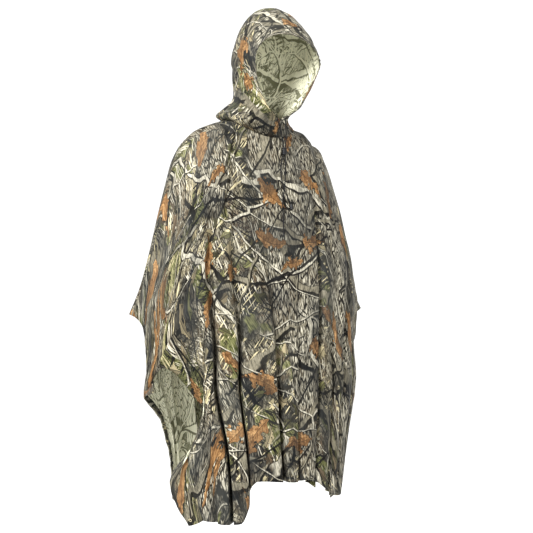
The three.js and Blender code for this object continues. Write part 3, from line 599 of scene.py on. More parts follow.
front = Panel(
    FRONT, FRONT_TROUGHS, FRONT_ENDS, FRONT_HEM, FRONT_RIGHT_EDGE, FRONT_LEFT_EDGE, EDGE_REACH_FRONT_RIGHT
)
back = Panel(BACK, BACK_TROUGHS, BACK_ENDS, BACK_HEM, BACK_RIGHT_EDGE, BACK_LEFT_EDGE, EDGE_REACH)

# Fine columns, several between those of the solids, and fine rows of the drop
COLUMN_SPLIT = 3
ROW_STEPS = 110
ROW_CLOSENESS = 1.25


def between(values, split):
    values = np.asarray(values, float)
    steps = np.arange(split) / split
    parts = [a + (b - a) * steps for a, b in zip(values, values[1:])]
    return np.concatenate([*parts, values[-1:]])


fine_places = between(front.places, COLUMN_SPLIT)
fine_tops = np.interp(fine_places, front.places, front.tops)
fine_rows = np.linspace(0, 1, ROW_STEPS + 1) ** ROW_CLOSENESS


# Small creases. Each runs from one place and share of the drop to another:
# place, share, place, share, width and depth in mm, sideways bend in mm
FRONT_CREASES = [
    (4.25, 0.02, 3.95, 0.17, 9, 3.4, 6), (5.05, 0.02, 5.15, 0.21, 10, 3.2, -5),
    (5.85, 0.02, 6.1, 0.15, 8, 3.6, 4), (3.15, 0.02, 2.8, 0.13, 8, 3.0, 5),
    (6.9, 0.015, 7.2, 0.12, 8, 3.0, -5), (4.6, 0.05, 4.9, 0.13, 6, 2.2, 3),
    (0.15, 0.12, 1.75, 0.3, 13, 5.0, 12), (0.2, 0.22, 1.9, 0.42, 12, 4.2, -10),
    (0.9, 0.1, 2.0, 0.2, 10, 3.4, 8), (10.8, 0.13, 9.4, 0.32, 13, 5.0, 10),
    (10.7, 0.24, 9.2, 0.43, 12, 4.0, -9), (10.1, 0.1, 8.9, 0.21, 10, 3.2, 6),
    (4.0, 0.33, 4.3, 0.6, 14, 3.2, 9), (5.1, 0.5, 4.85, 0.8, 15, 3.4, -8),
    (6.05, 0.3, 5.9, 0.52, 12, 2.8, 6), (2.0, 0.36, 1.75, 0.56, 11, 3.0, -6),
    (7.05, 0.42, 7.3, 0.66, 12, 3.0, 7), (8.0, 0.5, 7.85, 0.74, 11, 2.8, -6),
    (3.05, 0.55, 2.9, 0.78, 10, 2.6, 5), (4.15, 0.78, 4.4, 0.99, 12, 3.2, -6),
    (5.9, 0.82, 5.75, 1.0, 10, 3.0, 4), (7.9, 0.84, 8.1, 1.0, 10, 2.8, -4),
    (9.1, 0.7, 8.95, 0.9, 10, 2.6, 4), (1.1, 0.62, 1.3, 0.84, 12, 3.2, 7),
    (1.9, 0.84, 1.7, 1.0, 11, 3.2, -5), (0.4, 0.74, 0.8, 0.95, 10, 2.8, 5),
    (2.9, 0.88, 3.1, 1.0, 8, 2.4, 3), (3.2, -0.08, 2.25, 0.42, 6, 9.0, 6),
    (2.25, 0.16, 2.3, 0.8, 7, 3.0, 3), (3.6, -0.08, 2.8, 0.42, 6, 9.0, 4),
    (2.8, 0.16, 3.2, 0.8, 7, 3.0, -3), (6.9, -0.06, 7.4, 0.42, 6, 8.0, -4),
    (7.4, 0.2, 8.2, 0.85, 7, 3.0, 4),
]
BACK_CREASES = [
    (4.2, 0.02, 3.9, 0.16, 9, 3.4, -6), (5.1, 0.02, 5.2, 0.22, 10, 3.2, 5),
    (5.9, 0.02, 6.15, 0.14, 8, 3.4, -4), (3.1, 0.02, 2.85, 0.15, 8, 3.0, -5),
    (7.0, 0.015, 7.25, 0.13, 8, 3.0, 5), (4.7, 0.04, 4.55, 0.12, 6, 2.4, -3),
    (0.9, 0.11, 1.9, 0.3, 13, 4.4, -9), (10.6, 0.13, 9.2, 0.3, 13, 4.6, -10),
    (10.4, 0.24, 9.0, 0.44, 12, 3.8, 8), (4.0, 0.3, 4.25, 0.55, 14, 3.2, -8),
    (5.05, 0.46, 4.85, 0.74, 15, 3.4, 9), (6.0, 0.32, 5.85, 0.5, 12, 3.0, -6),
    (6.95, 0.44, 7.15, 0.7, 12, 3.0, -7), (8.0, 0.52, 7.9, 0.72, 11, 2.8, 6),
    (3.0, 0.5, 3.15, 0.76, 11, 3.0, 5), (4.1, 0.8, 4.3, 1.0, 12, 3.0, 5),
    (5.95, 0.82, 5.8, 1.0, 10, 3.0, -5), (8.9, 0.74, 9.1, 0.95, 10, 2.6, -4),
    (2.1, 0.6, 1.9, 0.86, 12, 2.6, -6), (7.1, 0.85, 6.9, 1.0, 9, 2.6, 4),
]
# Length in mm that stands for one place across and for the whole drop
PLACE_MM, DROP_MM = 50, 930
LIP_SHARE, LIP_AWAY, CREASE_FADE = 0.55, 1.7, 0.6
# Gathers at the neck seam: count to a place, unevenness, depth in mm, reach down and past the seam's end
GATHER_COUNT, GATHER_WANDER, GATHER_SLOW, GATHER_DEPTH = 1.9, 1.7, 2.3, 1.7
GATHER_SHARE, GATHER_END, GATHER_END_FADE = 0.05, 0.9, 0.4
# Puckers along hem and sides: height, length, fade into the cloth, unevenness and its length, in mm
EDGE_PUCKER, EDGE_LENGTH, EDGE_FADE, EDGE_WANDER, EDGE_SLOW = 0.8, 46, 26, 2.1, 71
TOP_HELD = 0.012
BODY_RIPPLES, BODY_RIPPLE_HEIGHT, RIPPLE_STRETCH = (38, 61, 90, 140), 1.6, 0.22


def creases(rows, across, down, across_mm, down_mm):
    """Height of the listed creases: a soft groove with a lip beside it."""
    height = np.zeros_like(across)
    for a0, d0, a1, d1, width, depth, bend in rows:
        start = np.array([a0 * across_mm, d0 * down_mm])
        line = np.array([a1 * across_mm, d1 * down_mm]) - start
        length = np.hypot(*line)
        dx, dy = across * across_mm - start[0], down * down_mm - start[1]
        along = (dx * line[0] + dy * line[1]) / length**2
        inside = np.clip(along, 0, 1)
        away = (dx * line[1] - dy * line[0]) / length - bend * np.sin(math.pi * inside)
        fade = np.sin(math.pi * inside) ** CREASE_FADE
        groove = np.exp(-((away / width) ** 2))
        lip = np.exp(-((away / width - LIP_AWAY) ** 2))
        height += depth * fade * (LIP_SHARE * lip - groove)
    return height


def waves(rng, x, y, lengths, height):
    """Slow uneven ripple: a few crossed waves of seeded direction and place."""
    total = np.zeros_like(x)
    for length in lengths:
        turn = rng.uniform(-0.5, 0.5)
        start = rng.uniform(0, 2 * math.pi)
        total += np.sin(2 * math.pi * (x * math.cos(turn) + y * math.sin(turn)) / length + start)
    return total * height / len(lengths)


def puckers(run, length, wander, slow, seed):
    """Uneven ripple along an edge, between -1 and 1."""
    return np.sin(2 * math.pi * run / length + wander * np.sin(run / slow + seed))


def cloth_grid(panel, rows, seed):
    """Fine grid of one half with its small creases, in mm."""
    grid = panel.grid(fine_places, fine_rows)
    normals = grid_normals(grid, panel.face)
    place, share = np.meshgrid(fine_places, fine_rows)
    rng = np.random.default_rng(seed)
    x, y = place * PLACE_MM, share * DROP_MM
    height = creases(rows, place, share, PLACE_MM, DROP_MM)
    height += waves(rng, x, y * RIPPLE_STRETCH, BODY_RIPPLES, BODY_RIPPLE_HEIGHT)
    # Gathers where the cloth is sewn to the hood
    uneven = GATHER_WANDER * np.sin(place * GATHER_SLOW + seed)
    gathers = np.sin(2 * math.pi * GATHER_COUNT * place + uneven)
    top = np.abs(np.interp(place, fine_places, fine_tops))
    on_neck = 1 - ramp((top - GATHER_END) / GATHER_END_FADE)
    height += GATHER_DEPTH * gathers * on_neck * np.exp(-share / GATHER_SHARE)
    # Puckers along the hem and the side edges
    hem_away = (1 - share) * DROP_MM
    side_away = np.minimum(place, fine_places[-1] - place) * PLACE_MM
    for away, run in ((hem_away, x), (side_away, y)):
        pucker = puckers(run, EDGE_LENGTH, EDGE_WANDER, EDGE_SLOW, seed)
        height += EDGE_PUCKER * pucker * np.exp(-away / EDGE_FADE)
    grid = grid + normals * (height * ramp(share / TOP_HELD))[..., None]
    normals = grid_normals(grid, panel.face)
    normals[0] = top_normal(fine_tops, panel.face)
    return grid, normals


HALVES = {"front": cloth_grid(front, FRONT_CREASES, 3), "back": cloth_grid(back, BACK_CREASES, 8)}


def mesh_from(name, points, faces):
    mesh = bpy.data.meshes.new(name)
    mesh.from_pydata([tuple(p) for p in points], [], faces)
    mesh.update()
    return mesh


def run_along(grid, axis, middle=0):
    """Length along the grid in metres, counted from one of its rows or columns."""
    steps = np.linalg.norm(np.diff(grid, axis=axis), axis=2)
    start = np.zeros_like(np.take(steps, [0], axis=axis))
    run = np.concatenate([start, np.cumsum(steps, axis=axis)], axis=axis)
    return (run - np.take(run, [middle], axis=axis)) * MM


def set_print(mesh, table, corners):
    """Gives each face corner its place in the flat cloth."""
    layer = mesh.uv_layers.new(name="print")
    layer.data.foreach_set("uv", table[corners].ravel())


def body_mesh():
    """Front and back as one sheet, joined along the arm line, with the neck left open."""
    rows, cols = HALVES["front"][0].shape[:2]
    count = rows * cols
    own = np.arange(2 * count).reshape(2, rows, cols)
    middle = int(np.argmin(np.abs(fine_tops)))
    neck_share = np.clip(1 - np.abs(fine_tops), 0, 1)
    flat = []
    for (grid, _), face, depth in ((HALVES["front"], FRONT, NECK_FRONT), (HALVES["back"], BACK, NECK_BACK)):
        across = run_along(grid, 1, middle)
        down = run_along(grid, 0) + depth * MM * neck_share
        flat.append(np.stack([across, face * down], -1))
    flat[1][..., 0] *= flat[0][0, -1, 0] / flat[1][0, -1, 0]
    quads = []
    for which in (0, 1):
        half = own[which]
        quad = np.stack([half[:-1, :-1], half[1:, :-1], half[1:, 1:], half[:-1, 1:]], -1).reshape(-1, 4)
        quads.append(quad[:, ::-1] if which else quad)
    corners = np.concatenate(quads)
    shared = np.arange(2 * count)
    on_arm = np.abs(fine_tops) >= 1
    shared[own[1, 0, on_arm]] = own[0, 0, on_arm]
    joined = shared[corners]
    points = np.concatenate([grid.reshape(-1, 3) for grid, _ in HALVES.values()]) * MM
    used = np.unique(joined)
    new = np.zeros(2 * count, int)
    new[used] = np.arange(len(used))
    mesh = mesh_from("body_cloth", points[used], new[joined].tolist())
    set_print(mesh, np.concatenate([part.reshape(-1, 2) for part in flat]), corners.ravel())
    return mesh


# Hood by turn from the face: roll, vee, waist and side as x, y, z, then the middle seam's y, z
HOOD = np.array([
    (0, 0, -98, -22, 0, -108, 2, 48, -124, 34, 88, -142, 150, -138, 228),
    (30, 62, -88, -10, 58, -98, 14, 74, -102, 46, 98, -112, 154, -124, 258),
    (60, 102, -48, 6, 92, -56, 26, 86, -64, 56, 105, -74, 158, -98, 290),
    (90, 114, 6, 18, 100, -4, 36, 88, -20, 62, 107, -34, 161, -62, 311),
    (120, 102, 54, 24, 90, 40, 42, 78, 18, 68, 96, 12, 163, -24, 318),
    (150, 58, 80, 28, 52, 62, 46, 46, 40, 72, 62, 48, 164, 6, 308),
    (180, 0, 88, 30, 0, 70, 48, 0, 48, 74, 0, 62, 166, 26, 286),
], float)
HOOD_ROLL, HOOD_VEE, HOOD_WAIST, HOOD_SIDE = 0.08, 0.16, 0.26, 0.54
HOOD_BULGE = 12
# The left side stands in over the neck seam and is wider above: turn, share, back, wide
HOOD_LEFT = np.array([
    (0, 1, 0, 14), (30, 0.8, 18, 14), (60, 0.74, 6, 10), (90, 0.82, 0, 4), (130, 0.92, 0, 0),
    (180, 1, 0, 0),
], float)
HOOD_TURN, HOOD_TURN_HEIGHT = -12, 110
HOOD_SHIFT, HOOD_SHIFT_HEIGHT = 16, 160
HOOD_MIDDLE_Y = -50


def hood_grid(turns, shares, side):
    turn, v = np.meshgrid(turns, shares)

    def knot(first):
        x, y, z = (read(HOOD[:, 0], HOOD[:, first + k], turn) for k in range(3))
        return np.stack([side * x, y, z], -1)

    def tucked(first):
        place = knot(first)
        if side == LEFT:
            place[..., 0] *= read(HOOD_LEFT[:, 0], HOOD_LEFT[:, 1], turn)
            place[..., 1] += read(HOOD_LEFT[:, 0], HOOD_LEFT[:, 2], turn)
        return place

    base = neck_point(turn, side)
    side_point = knot(10)
    if side == LEFT:
        side_point[..., 0] += read(HOOD_LEFT[:, 0], HOOD_LEFT[:, 3], turn)
    beyond = side_point * (0.9, 1, 1) + (0, 0, 70)
    keys = (0, HOOD_ROLL, HOOD_VEE, HOOD_WAIST, HOOD_SIDE, 2 * HOOD_SIDE - HOOD_WAIST)
    knots = [base, tucked(1), tucked(4), knot(7), side_point, beyond]
    low = np.stack([read(keys, [row[..., k] for row in knots], v) for k in range(3)], -1)
    lift = np.clip((v - HOOD_SIDE) / (1 - HOOD_SIDE), 0, 1) * 90
    up, over = np.sin(np.radians(lift)), np.cos(np.radians(lift))
    seam_y, seam_z = (read(HOOD[:, 0], HOOD[:, k], turn) for k in (13, 14))
    back_share = ramp((turn - 120) / 60)
    high = np.stack([
        side_point[..., 0] * over,
        mix(side_point[..., 1], seam_y, up) + HOOD_BULGE * back_share * np.sin(np.radians(2 * lift)),
        mix(side_point[..., 2], seam_z, up),
    ], -1)
    point = np.where((v <= HOOD_SIDE)[..., None], low, high)
    on_middle = ((turn == 0) & (v <= HOOD_VEE)) | (turn == 180) | (v == 1)
    point[..., 0] = np.where(on_middle, 0, point[..., 0])
    swing = np.radians(HOOD_TURN) * ramp(point[..., 2] / HOOD_TURN_HEIGHT)
    x, dy = point[..., 0].copy(), point[..., 1] - HOOD_MIDDLE_Y
    point[..., 1] = HOOD_MIDDLE_Y + x * np.sin(swing) + dy * np.cos(swing)
    shift = HOOD_SHIFT * ramp(point[..., 2] / HOOD_SHIFT_HEIGHT)
    point[..., 0] = x * np.cos(swing) - dy * np.sin(swing) + shift
    return point


HOOD_TURNS = np.linspace(0, 180, 73)
HOOD_SHARES = np.unique(np.concatenate([np.linspace(0, HOOD_VEE, 13), np.linspace(HOOD_VEE, 1, 61)]))
# Creases of the hood: turn, share, turn, share, then width, depth and sideways bend in mm
HOOD_CREASES = {
    RIGHT: [
        (14, 0.03, 19, 0.2, 6, 3.6, 2), (31, 0.02, 39, 0.27, 7, 4.4, -3),
        (52, 0.03, 56, 0.3, 8, 4.2, 3), (76, 0.02, 70, 0.26, 7, 3.4, -3),
        (97, 0.03, 104, 0.31, 9, 4.4, 4), (128, 0.02, 123, 0.25, 8, 3.8, -3),
        (156, 0.03, 150, 0.28, 8, 3.6, 3), (44, 0.2, 78, 0.42, 12, 4.2, 8),
        (92, 0.34, 128, 0.56, 14, 4.0, -8), (12, 0.34, 46, 0.46, 9, 3.4, 6),
        (22, 0.58, 64, 0.74, 13, 3.2, 8), (110, 0.6, 150, 0.82, 14, 3.4, -7),
        (8, 0.72, 34, 0.9, 9, 2.6, 4), (140, 0.3, 172, 0.42, 11, 3.2, 5),
        (66, 0.78, 104, 0.95, 12, 2.8, 5), (64, 0.45, 12, 0.5, 7, 4, 3), (12, 0.52, 34, 0.95, 8, 4, -4),
    ],
    LEFT: [
        (12, 0.03, 17, 0.2, 6, 3.4, -2), (35, 0.02, 30, 0.26, 7, 4.0, 3),
        (58, 0.03, 64, 0.3, 8, 4.2, -3), (84, 0.02, 79, 0.28, 8, 3.6, 3),
        (108, 0.03, 113, 0.3, 8, 4.0, -4), (136, 0.02, 130, 0.25, 7, 3.4, 3),
        (162, 0.03, 166, 0.27, 8, 3.4, -3), (40, 0.22, 74, 0.4, 12, 4.0, -8),
        (90, 0.36, 132, 0.54, 14, 3.8, 8), (10, 0.36, 42, 0.5, 9, 3.2, -5),
        (26, 0.6, 66, 0.76, 13, 3.0, -8), (104, 0.62, 148, 0.8, 14, 3.2, 7),
        (8, 0.76, 36, 0.92, 9, 2.4, -4), (144, 0.28, 174, 0.4, 11, 3.0, -5),
    ],
}
TURN_MM, HOOD_MM = 1.9, 430
# Puckers along the face opening: height, length, fade, unevenness and its length, in mm
FACE_PUCKER, FACE_LENGTH, FACE_FADE, FACE_WANDER, FACE_SLOW = 1.5, 17, 15, 1.8, 37
FACE_START = 0.04
# Shares or degrees beside the seams within which nothing moves freely
NECK_HELD, CROWN_HELD, MIDDLE_HELD = 0.03, 0.02, 6
HOOD_RIPPLES, HOOD_RIPPLE_HEIGHT = (44, 67, 95), 1.5


def hood_cloth(side):
    """Fine grid of one side of the hood with its pleats and puckers, in mm."""
    grid = hood_grid(HOOD_TURNS, HOOD_SHARES, side)
    normals = grid_normals(grid, side)
    turn, share = np.meshgrid(HOOD_TURNS, HOOD_SHARES)
    rng = np.random.default_rng(20 + side)
    height = creases(HOOD_CREASES[side], turn, share, TURN_MM, HOOD_MM)
    run = share * HOOD_MM
    height += waves(rng, turn * TURN_MM, run, HOOD_RIPPLES, HOOD_RIPPLE_HEIGHT)
    # The drawcord gathers the cloth along the face opening
    pucker = puckers(run, FACE_LENGTH, FACE_WANDER, FACE_SLOW, side)
    face_only = ramp((share - HOOD_VEE) / FACE_START)
    height += FACE_PUCKER * face_only * pucker * np.exp(-turn * TURN_MM / FACE_FADE)
    # Nothing moves where the sides are sewn together and to the body
    held = ramp(share / NECK_HELD) * ramp((1 - share) / CROWN_HELD) * ramp((180 - turn) / MIDDLE_HELD)
    held *= np.where(share <= HOOD_VEE, ramp(turn / MIDDLE_HELD), 1)
    grid = grid + normals * (height * held)[..., None]
    return grid, grid_normals(grid, side)


hood_sides = {side: hood_cloth(side) for side in (RIGHT, LEFT)}


# Where each side of the hood is cut from the print, in metres
HOOD_CUT = {RIGHT: (1.2, 2.9), LEFT: (3.2, 1.1)}


def hood_mesh():
    """Both sides of the hood, to be sewn along their middle seam."""
    rows, cols = len(HOOD_SHARES), len(HOOD_TURNS)
    own = np.arange(rows * cols).reshape(rows, cols)
    quad = np.stack([own[:-1, :-1], own[:-1, 1:], own[1:, 1:], own[1:, :-1]], -1).reshape(-1, 4)
    points, faces, flat = [], [], []
    for k, side in enumerate((RIGHT, LEFT)):
        grid = hood_sides[side][0]
        points.append(grid.reshape(-1, 3) * MM)
        faces.append((quad if side == LEFT else quad[:, ::-1]) + k * rows * cols)
        uv = np.stack([run_along(grid, 1, cols // 2), run_along(grid, 0)], -1) + HOOD_CUT[side]
        flat.append(uv.reshape(-1, 2))
    faces = np.concatenate(faces)
    mesh = mesh_from("hood_cloth", np.concatenate(points), faces.tolist())
    set_print(mesh, np.concatenate(flat), faces.ravel())
    return mesh


# In metres
CLOTH_THICKNESS = 0.0012
SEAM_WELD, POLE_WELD = 0.00002, 0.000001

# Print: dark ground, bark, brush and leaves of no real kind, laid out by seeded noise
INK = (0.006, 0.0055, 0.005, 1)
CHARCOAL = (0.014, 0.0135, 0.012, 1)
SOIL = (0.032, 0.026, 0.018, 1)
STONE = (0.21, 0.19, 0.14, 1)
PALE_BARK = (0.46, 0.43, 0.345, 1)
GREY_BARK = (0.088, 0.078, 0.054, 1)
BROWN_BARK = (0.10, 0.073, 0.046, 1)
MOSS = (0.048, 0.054, 0.014, 1)
SAGE = (0.17, 0.17, 0.075, 1)
RUST = (0.15, 0.078, 0.032, 1)
TAN = (0.37, 0.225, 0.105, 1)
UMBER = (0.045, 0.023, 0.010, 1)
SLATE = (0.012, 0.014, 0.016, 1)
STRAW = (0.48, 0.42, 0.26, 1)
FADED = (0.42, 0.42, 0.36, 1)
COATING_DARK = (0.20, 0.20, 0.13, 1)
COATING_PALE = (0.80, 0.79, 0.62, 1)

# Strokes of grass: turn, scale, where they begin, colour and place
STROKES = [
    (0.55, 190.0, 0.58, INK, 0.0),
    (-0.75, 210.0, 0.60, STRAW, 1.3),
    (1.15, 170.0, 0.58, CHARCOAL, 2.9),
    (0.2, 230.0, 0.60, PALE_BARK, 4.4),
]
# Leaves: spacing, length and width in m, share of places with a leaf, place, darkest and lightest colour
SMALL_LEAVES = [
    (0.049, 0.040, 0.016, 0.42, (7.3, 2.2), SOIL, SAGE),
    (0.066, 0.054, 0.022, 0.4, (1.9, 8.4), BROWN_BARK, STRAW),
]
DEAD_LEAVES = [
    (0.12, 0.070, 0.030, 0.28, (3.6, 9.2), UMBER, TAN),
    (0.165, 0.100, 0.042, 0.5, (6.1, 4.8), RUST, TAN),
]
LEAF_BEND, LEAF_STALK, VEIN_SHARE = 3.2, 0.0011, 0.1
# Branches: turn, stretch, scale, width in m, place, bend and colour
BRANCHES = [
    (0.35, (3.2, 1), 4.2, 0.0125, (2.2, 0.4), 0.10, STONE),
    (-0.75, (3.6, 1), 5.0, 0.0075, (5.7, 3.1), 0.08, PALE_BARK),
    (1.2, (3.4, 1), 6.5, 0.0048, (8.8, 1.3), 0.06, STONE),
    (-0.3, (3.0, 1), 8.5, 0.0030, (4.1, 6.6), 0.05, PALE_BARK),
    (0.8, (3.2, 1), 9.5, 0.0028, (9.4, 7.7), 0.05, CHARCOAL),
]


def leaves(n, where, spacing, length, width, share, move):
    """Scattered pointed leaves: mask, dark rim, midrib and veins, a random tone, and their shaded half."""
    where = n.place(where, move=move)
    cell = n.cells(where, 1 / spacing, random=0.85)
    local = n.vector("SUBTRACT", where, cell["Position"])
    random = n.parts(cell["Color"])
    turn = n.math("MULTIPLY", random[0], 2 * math.pi)
    turned = n.add("ShaderNodeVectorRotate", {"Vector": local, "Angle": turn}, rotation_type="Z_AXIS")
    x, y, _ = n.parts(turned.outputs[0])
    x = n.math("SUBTRACT", x, n.both(n.both(y, y), LEAF_BEND))
    half_shade = n.step(x, -0.0015, 0.0015)
    x = n.math("ABSOLUTE", x)
    s = n.math("DIVIDE", y, length / 2)
    body = n.rest(n.both(s, s))
    half = n.both(body, n.math("MULTIPLY_ADD", s, 0.16 * width, 0.5 * width))
    teeth = n.noise(where, 4.2 / length, 2, 0.6)
    edge = n.math("SUBTRACT", n.math("MULTIPLY_ADD", teeth, 1.5 * width, half), x)
    edge = n.math("SUBTRACT", edge, 0.76 * width)
    below_stalk = n.math("MAXIMUM", n.math("SUBTRACT", -0.68 * length, y), 0.0)
    stalk = n.math("SUBTRACT", LEAF_STALK, n.math("ADD", x, below_stalk))
    stalk = n.math("SUBTRACT", stalk, n.math("GREATER_THAN", y, 0.0))
    edge = n.math("MAXIMUM", edge, stalk)
    there = n.math("GREATER_THAN", random[1], 1 - share)
    leaf = n.both(n.step(edge, 0.0, 0.0009), there)
    halo = n.both(n.step(edge, -0.0035, 0.0), there)
    rib = n.rest(n.step(x, 0.0004, 0.0013))
    slanted = n.math("MULTIPLY_ADD", x, 1.3, y)
    vein = n.math("SINE", n.math("MULTIPLY", slanted, 2 * math.pi / (VEIN_SHARE * length)))
    lines = n.math("MAXIMUM", rib, n.both(n.step(vein, 0.82, 1.0), 0.5))
    return leaf, halo, lines, random[2], half_shade


def branches(n, where, turn, stretch, scale, width, move, bend):
    """Forking lines of about one width, in metres: their wood, and the dark below it."""
    bent = n.wander(where, 9.0, (bend, bend))
    masks = []
    for shift, grow in (((0.0, 0.0), 0.0), ((0.35 * width, -0.55 * width), 0.35)):
        placed = n.place(bent, stretch, turn, (move[0] + shift[0], move[1] + shift[1]))
        half = (0.5 + grow) * width * scale / min(stretch)
        knots = n.math("MULTIPLY_ADD", n.noise(where, 38.0, 2), -0.9 * half, 1.45 * half)
        away = n.math("SUBTRACT", n.cracks(placed, scale), knots)
        masks.append(n.rest(n.step(away, -0.3 * half, 0.0)))
    here = n.step(n.noise(n.place(where, move=move), 5.0, 1), 0.42, 0.47)
    return n.both(masks[0], here), n.both(masks[1], here)


def print_colour(n, where):
    """Colour of the all-over print from the cloth's own lengths in metres."""
    grain = n.noise(where, 420.0, 2, 0.7)
    streak = n.noise(n.place(where, (1, 5), 0.08), 240.0, 3, 0.68)
    # Ground of lichen and stone with fine cracks, in lighter and darker parts
    mottle = n.noise(n.place(where, (1, 1.8)), 85.0, 5, 0.72)
    tone = n.noise(n.place(where, (1, 1.6), 0.2), 8.5, 3, 0.55)
    warm = n.noise(where, 6.0, 2)
    ground = n.mix(n.step(warm, 0.4, 0.6), GREY_BARK, BROWN_BARK)
    colour = n.mix(n.step(mottle, 0.40, 0.60), ground, STONE)
    colour = n.over(colour, PALE_BARK, n.step(mottle, 0.58, 0.68), 0.8)
    colour = n.over(colour, SLATE, n.step(tone, 0.47, 0.60), 0.8)
    crack = n.cracks(n.place(n.wander(where, 60.0, (0.012, 0.02)), (1, 2.4)), 120.0)
    colour = n.over(colour, INK, n.rest(n.step(crack, 0.02, 0.16)), 0.85)
    # Moss and dry grass: fine strokes that turn from patch to patch
    moss = n.step(n.noise(n.place(where, move=(3.1, 1.7)), 6.5, 3, 0.6), 0.53, 0.60)
    tuft = n.noise(n.place(where, (1, 9), 0.5), 260.0, 2, 0.6)
    colour = n.over(colour, n.mix(n.step(tuft, 0.42, 0.58), MOSS, SAGE), moss, 0.85)
    for turn, scale, low, shade, move in STROKES:
        stroke = n.noise(n.place(where, (1, 13), turn, (move, 0)), scale, 1, 0.5)
        area = n.step(n.noise(n.place(where, move=(move, 5.0)), 9.0, 2), 0.47, 0.55)
        colour = n.over(colour, shade, n.step(stroke, low, low + 0.04), area)
    # Small dull leaves of the undergrowth
    for *size, dark, light in SMALL_LEAVES:
        leaf, halo, lines, chance, shade = leaves(n, where, *size)
        colour = n.over(colour, INK, halo, 0.8)
        tint = n.over(n.mix(chance, dark, light), INK, shade, 0.4)
        colour = n.mix(leaf, colour, n.mix(lines, tint, SOIL))
    # Trunks: long bands with cracked bark, darker toward one side
    band = n.place(n.wander(where, 3.0, (0.08, 0.0)), (1, 7), 0.06, (0.37, 0.2))
    band = n.noise(band, 7.0, 1, 0.35)
    torn = n.place(n.wander(where, 30.0, (0.016, 0.04)), (1, 5.5))
    plate = n.step(n.cracks(torn, 150.0), 0.02, 0.22)
    fibre = n.step(streak, 0.38, 0.62)
    brown = n.mix(fibre, BROWN_BARK, STONE)
    bark = n.over(n.mix(fibre, GREY_BARK, PALE_BARK), brown, n.step(warm, 0.45, 0.6), 0.5)
    bark = n.mix(n.rest(plate), bark, INK)
    bark = n.over(bark, INK, n.rest(n.step(band, 0.53, 0.57)), 0.75)
    colour = n.mix(n.step(band, 0.525, 0.532), colour, bark)
    # Branches and twigs across it all
    for *shape, wood_tone in BRANCHES:
        wood, below = branches(n, where, *shape)
        colour = n.over(colour, INK, below, 0.92)
        grained = n.mix(n.step(streak, 0.36, 0.6), n.mix(0.6, wood_tone, INK), wood_tone)
        colour = n.mix(wood, colour, grained)
    # Dead leaves, the brightest part of the print
    for *size, dark, light in DEAD_LEAVES:
        leaf, halo, lines, chance, shade = leaves(n, where, *size)
        colour = n.over(colour, INK, halo, 0.9)
        dry = n.step(n.noise(where, 75.0, 5, 0.72), 0.38, 0.62)
        tint = n.over(n.mix(dry, n.mix(chance, dark, RUST), light), RUST, shade, 0.55)
        tint = n.over(tint, UMBER, n.step(streak, 0.50, 0.62), 0.55)
        colour = n.mix(leaf, colour, n.over(tint, UMBER, lines, 0.8))
    colour = n.over(colour, n.mix(0.5, colour, INK), n.step(grain, 0.40, 0.70), 0.3)
    # Soft shade that drifts over all of it, as between near and far trunks
    drift = n.noise(n.place(where, (1, 1.4), 0.5, (2.6, 8.1)), 11.0, 3, 0.5)
    return n.over(colour, n.mix(0.75, colour, SLATE), n.step(drift, 0.42, 0.66), 0.72)


WEAVE_PITCH = 0.0009


def cloth_surface(n, where, colour, rough, weave_strength):
    """Weave, coating and wear that the cloth's two faces share."""
    x, y, _ = n.parts(where)
    ribs = [n.math("SINE", n.math("MULTIPLY", way, 2 * math.pi / WEAVE_PITCH)) for way in (x, y)]
    weave = n.bump(n.both(*ribs), 0.00005, weave_strength)
    return n.surface({
        "Base Color": colour,
        "Normal": n.bump(n.noise(where, 62.0, 3, 0.55), 0.0011, 0.35, Normal=weave),
        "Roughness": n.math("MULTIPLY_ADD", n.noise(where, 34.0, 4, 0.6), 0.16, rough),
        "Sheen Weight": 0.015,
        "Sheen Roughness": 0.5,
        "Specular IOR Level": 0.07,
    })


def cloth_material():
    """Printed face of the coated polyester."""
    n = Nodes("printed_cloth")
    where = n.where("UV")
    colour = print_colour(n, where)
    fade = n.step(n.noise(where, 5.0, 3), 0.35, 0.75)
    return cloth_surface(n, where, n.over(colour, FADED, fade, 0.05), 0.46, 0.3)


def lining_material():
    """Pale coated inside, through which the print just shows."""
    n = Nodes("coated_inside")
    where = n.where("UV")
    through = print_colour(n, where)
    bright = n.add("ShaderNodeRGBToBW", {"Color": through}).outputs[0]
    ghost = n.mix(n.step(bright, 0.004, 0.07), COATING_DARK, COATING_PALE)
    return cloth_surface(n, where, n.mix(0.2, ghost, through), 0.5, 0.25)


def shaded_facing_material():
    """The same cloth on the casing at the face, its print mixed most of the way to black as painted shade.
    """
    n = Nodes("dark_facing")
    where = n.where("UV")
    # Painted shade: the print mixed most of the way toward black
    return cloth_surface(n, where, n.mix(0.72, print_colour(n, where), INK), 0.46, 0.3)


PRINT = cloth_material()
LINING = lining_material()
SHADED_FACING = shaded_facing_material()


def select_only(obj):
    for other in bpy.context.view_layer.objects:
        other.select_set(other == obj)
    bpy.context.view_layer.objects.active = obj


def smooth(mesh):
    mesh.polygons.foreach_set("use_smooth", [True] * len(mesh.polygons))


def shell(obj):
    """Gives a sheet its thickness on the inside, where the lining shows."""
    obj.data.materials.append(PRINT)
    obj.data.materials.append(LINING)
    solid = obj.modifiers.new("thickness", "SOLIDIFY")
    solid.thickness = CLOTH_THICKNESS
    solid.offset = -1
    solid.use_rim = True
    solid.material_offset = 1
    solid.material_offset_rim = 0
    select_only(obj)
    bpy.ops.object.modifier_apply(modifier=solid.name)
    smooth(obj.data)


def weld(mesh, distance):
    shape = bmesh.new()
    shape.from_mesh(mesh)
    bmesh.ops.remove_doubles(shape, verts=shape.verts, dist=distance)
    shape.to_mesh(mesh)
    shape.free()


def ride(obj, slot, *nodes):
    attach(obj, "root")
    if nodes:
        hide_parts(*nodes)


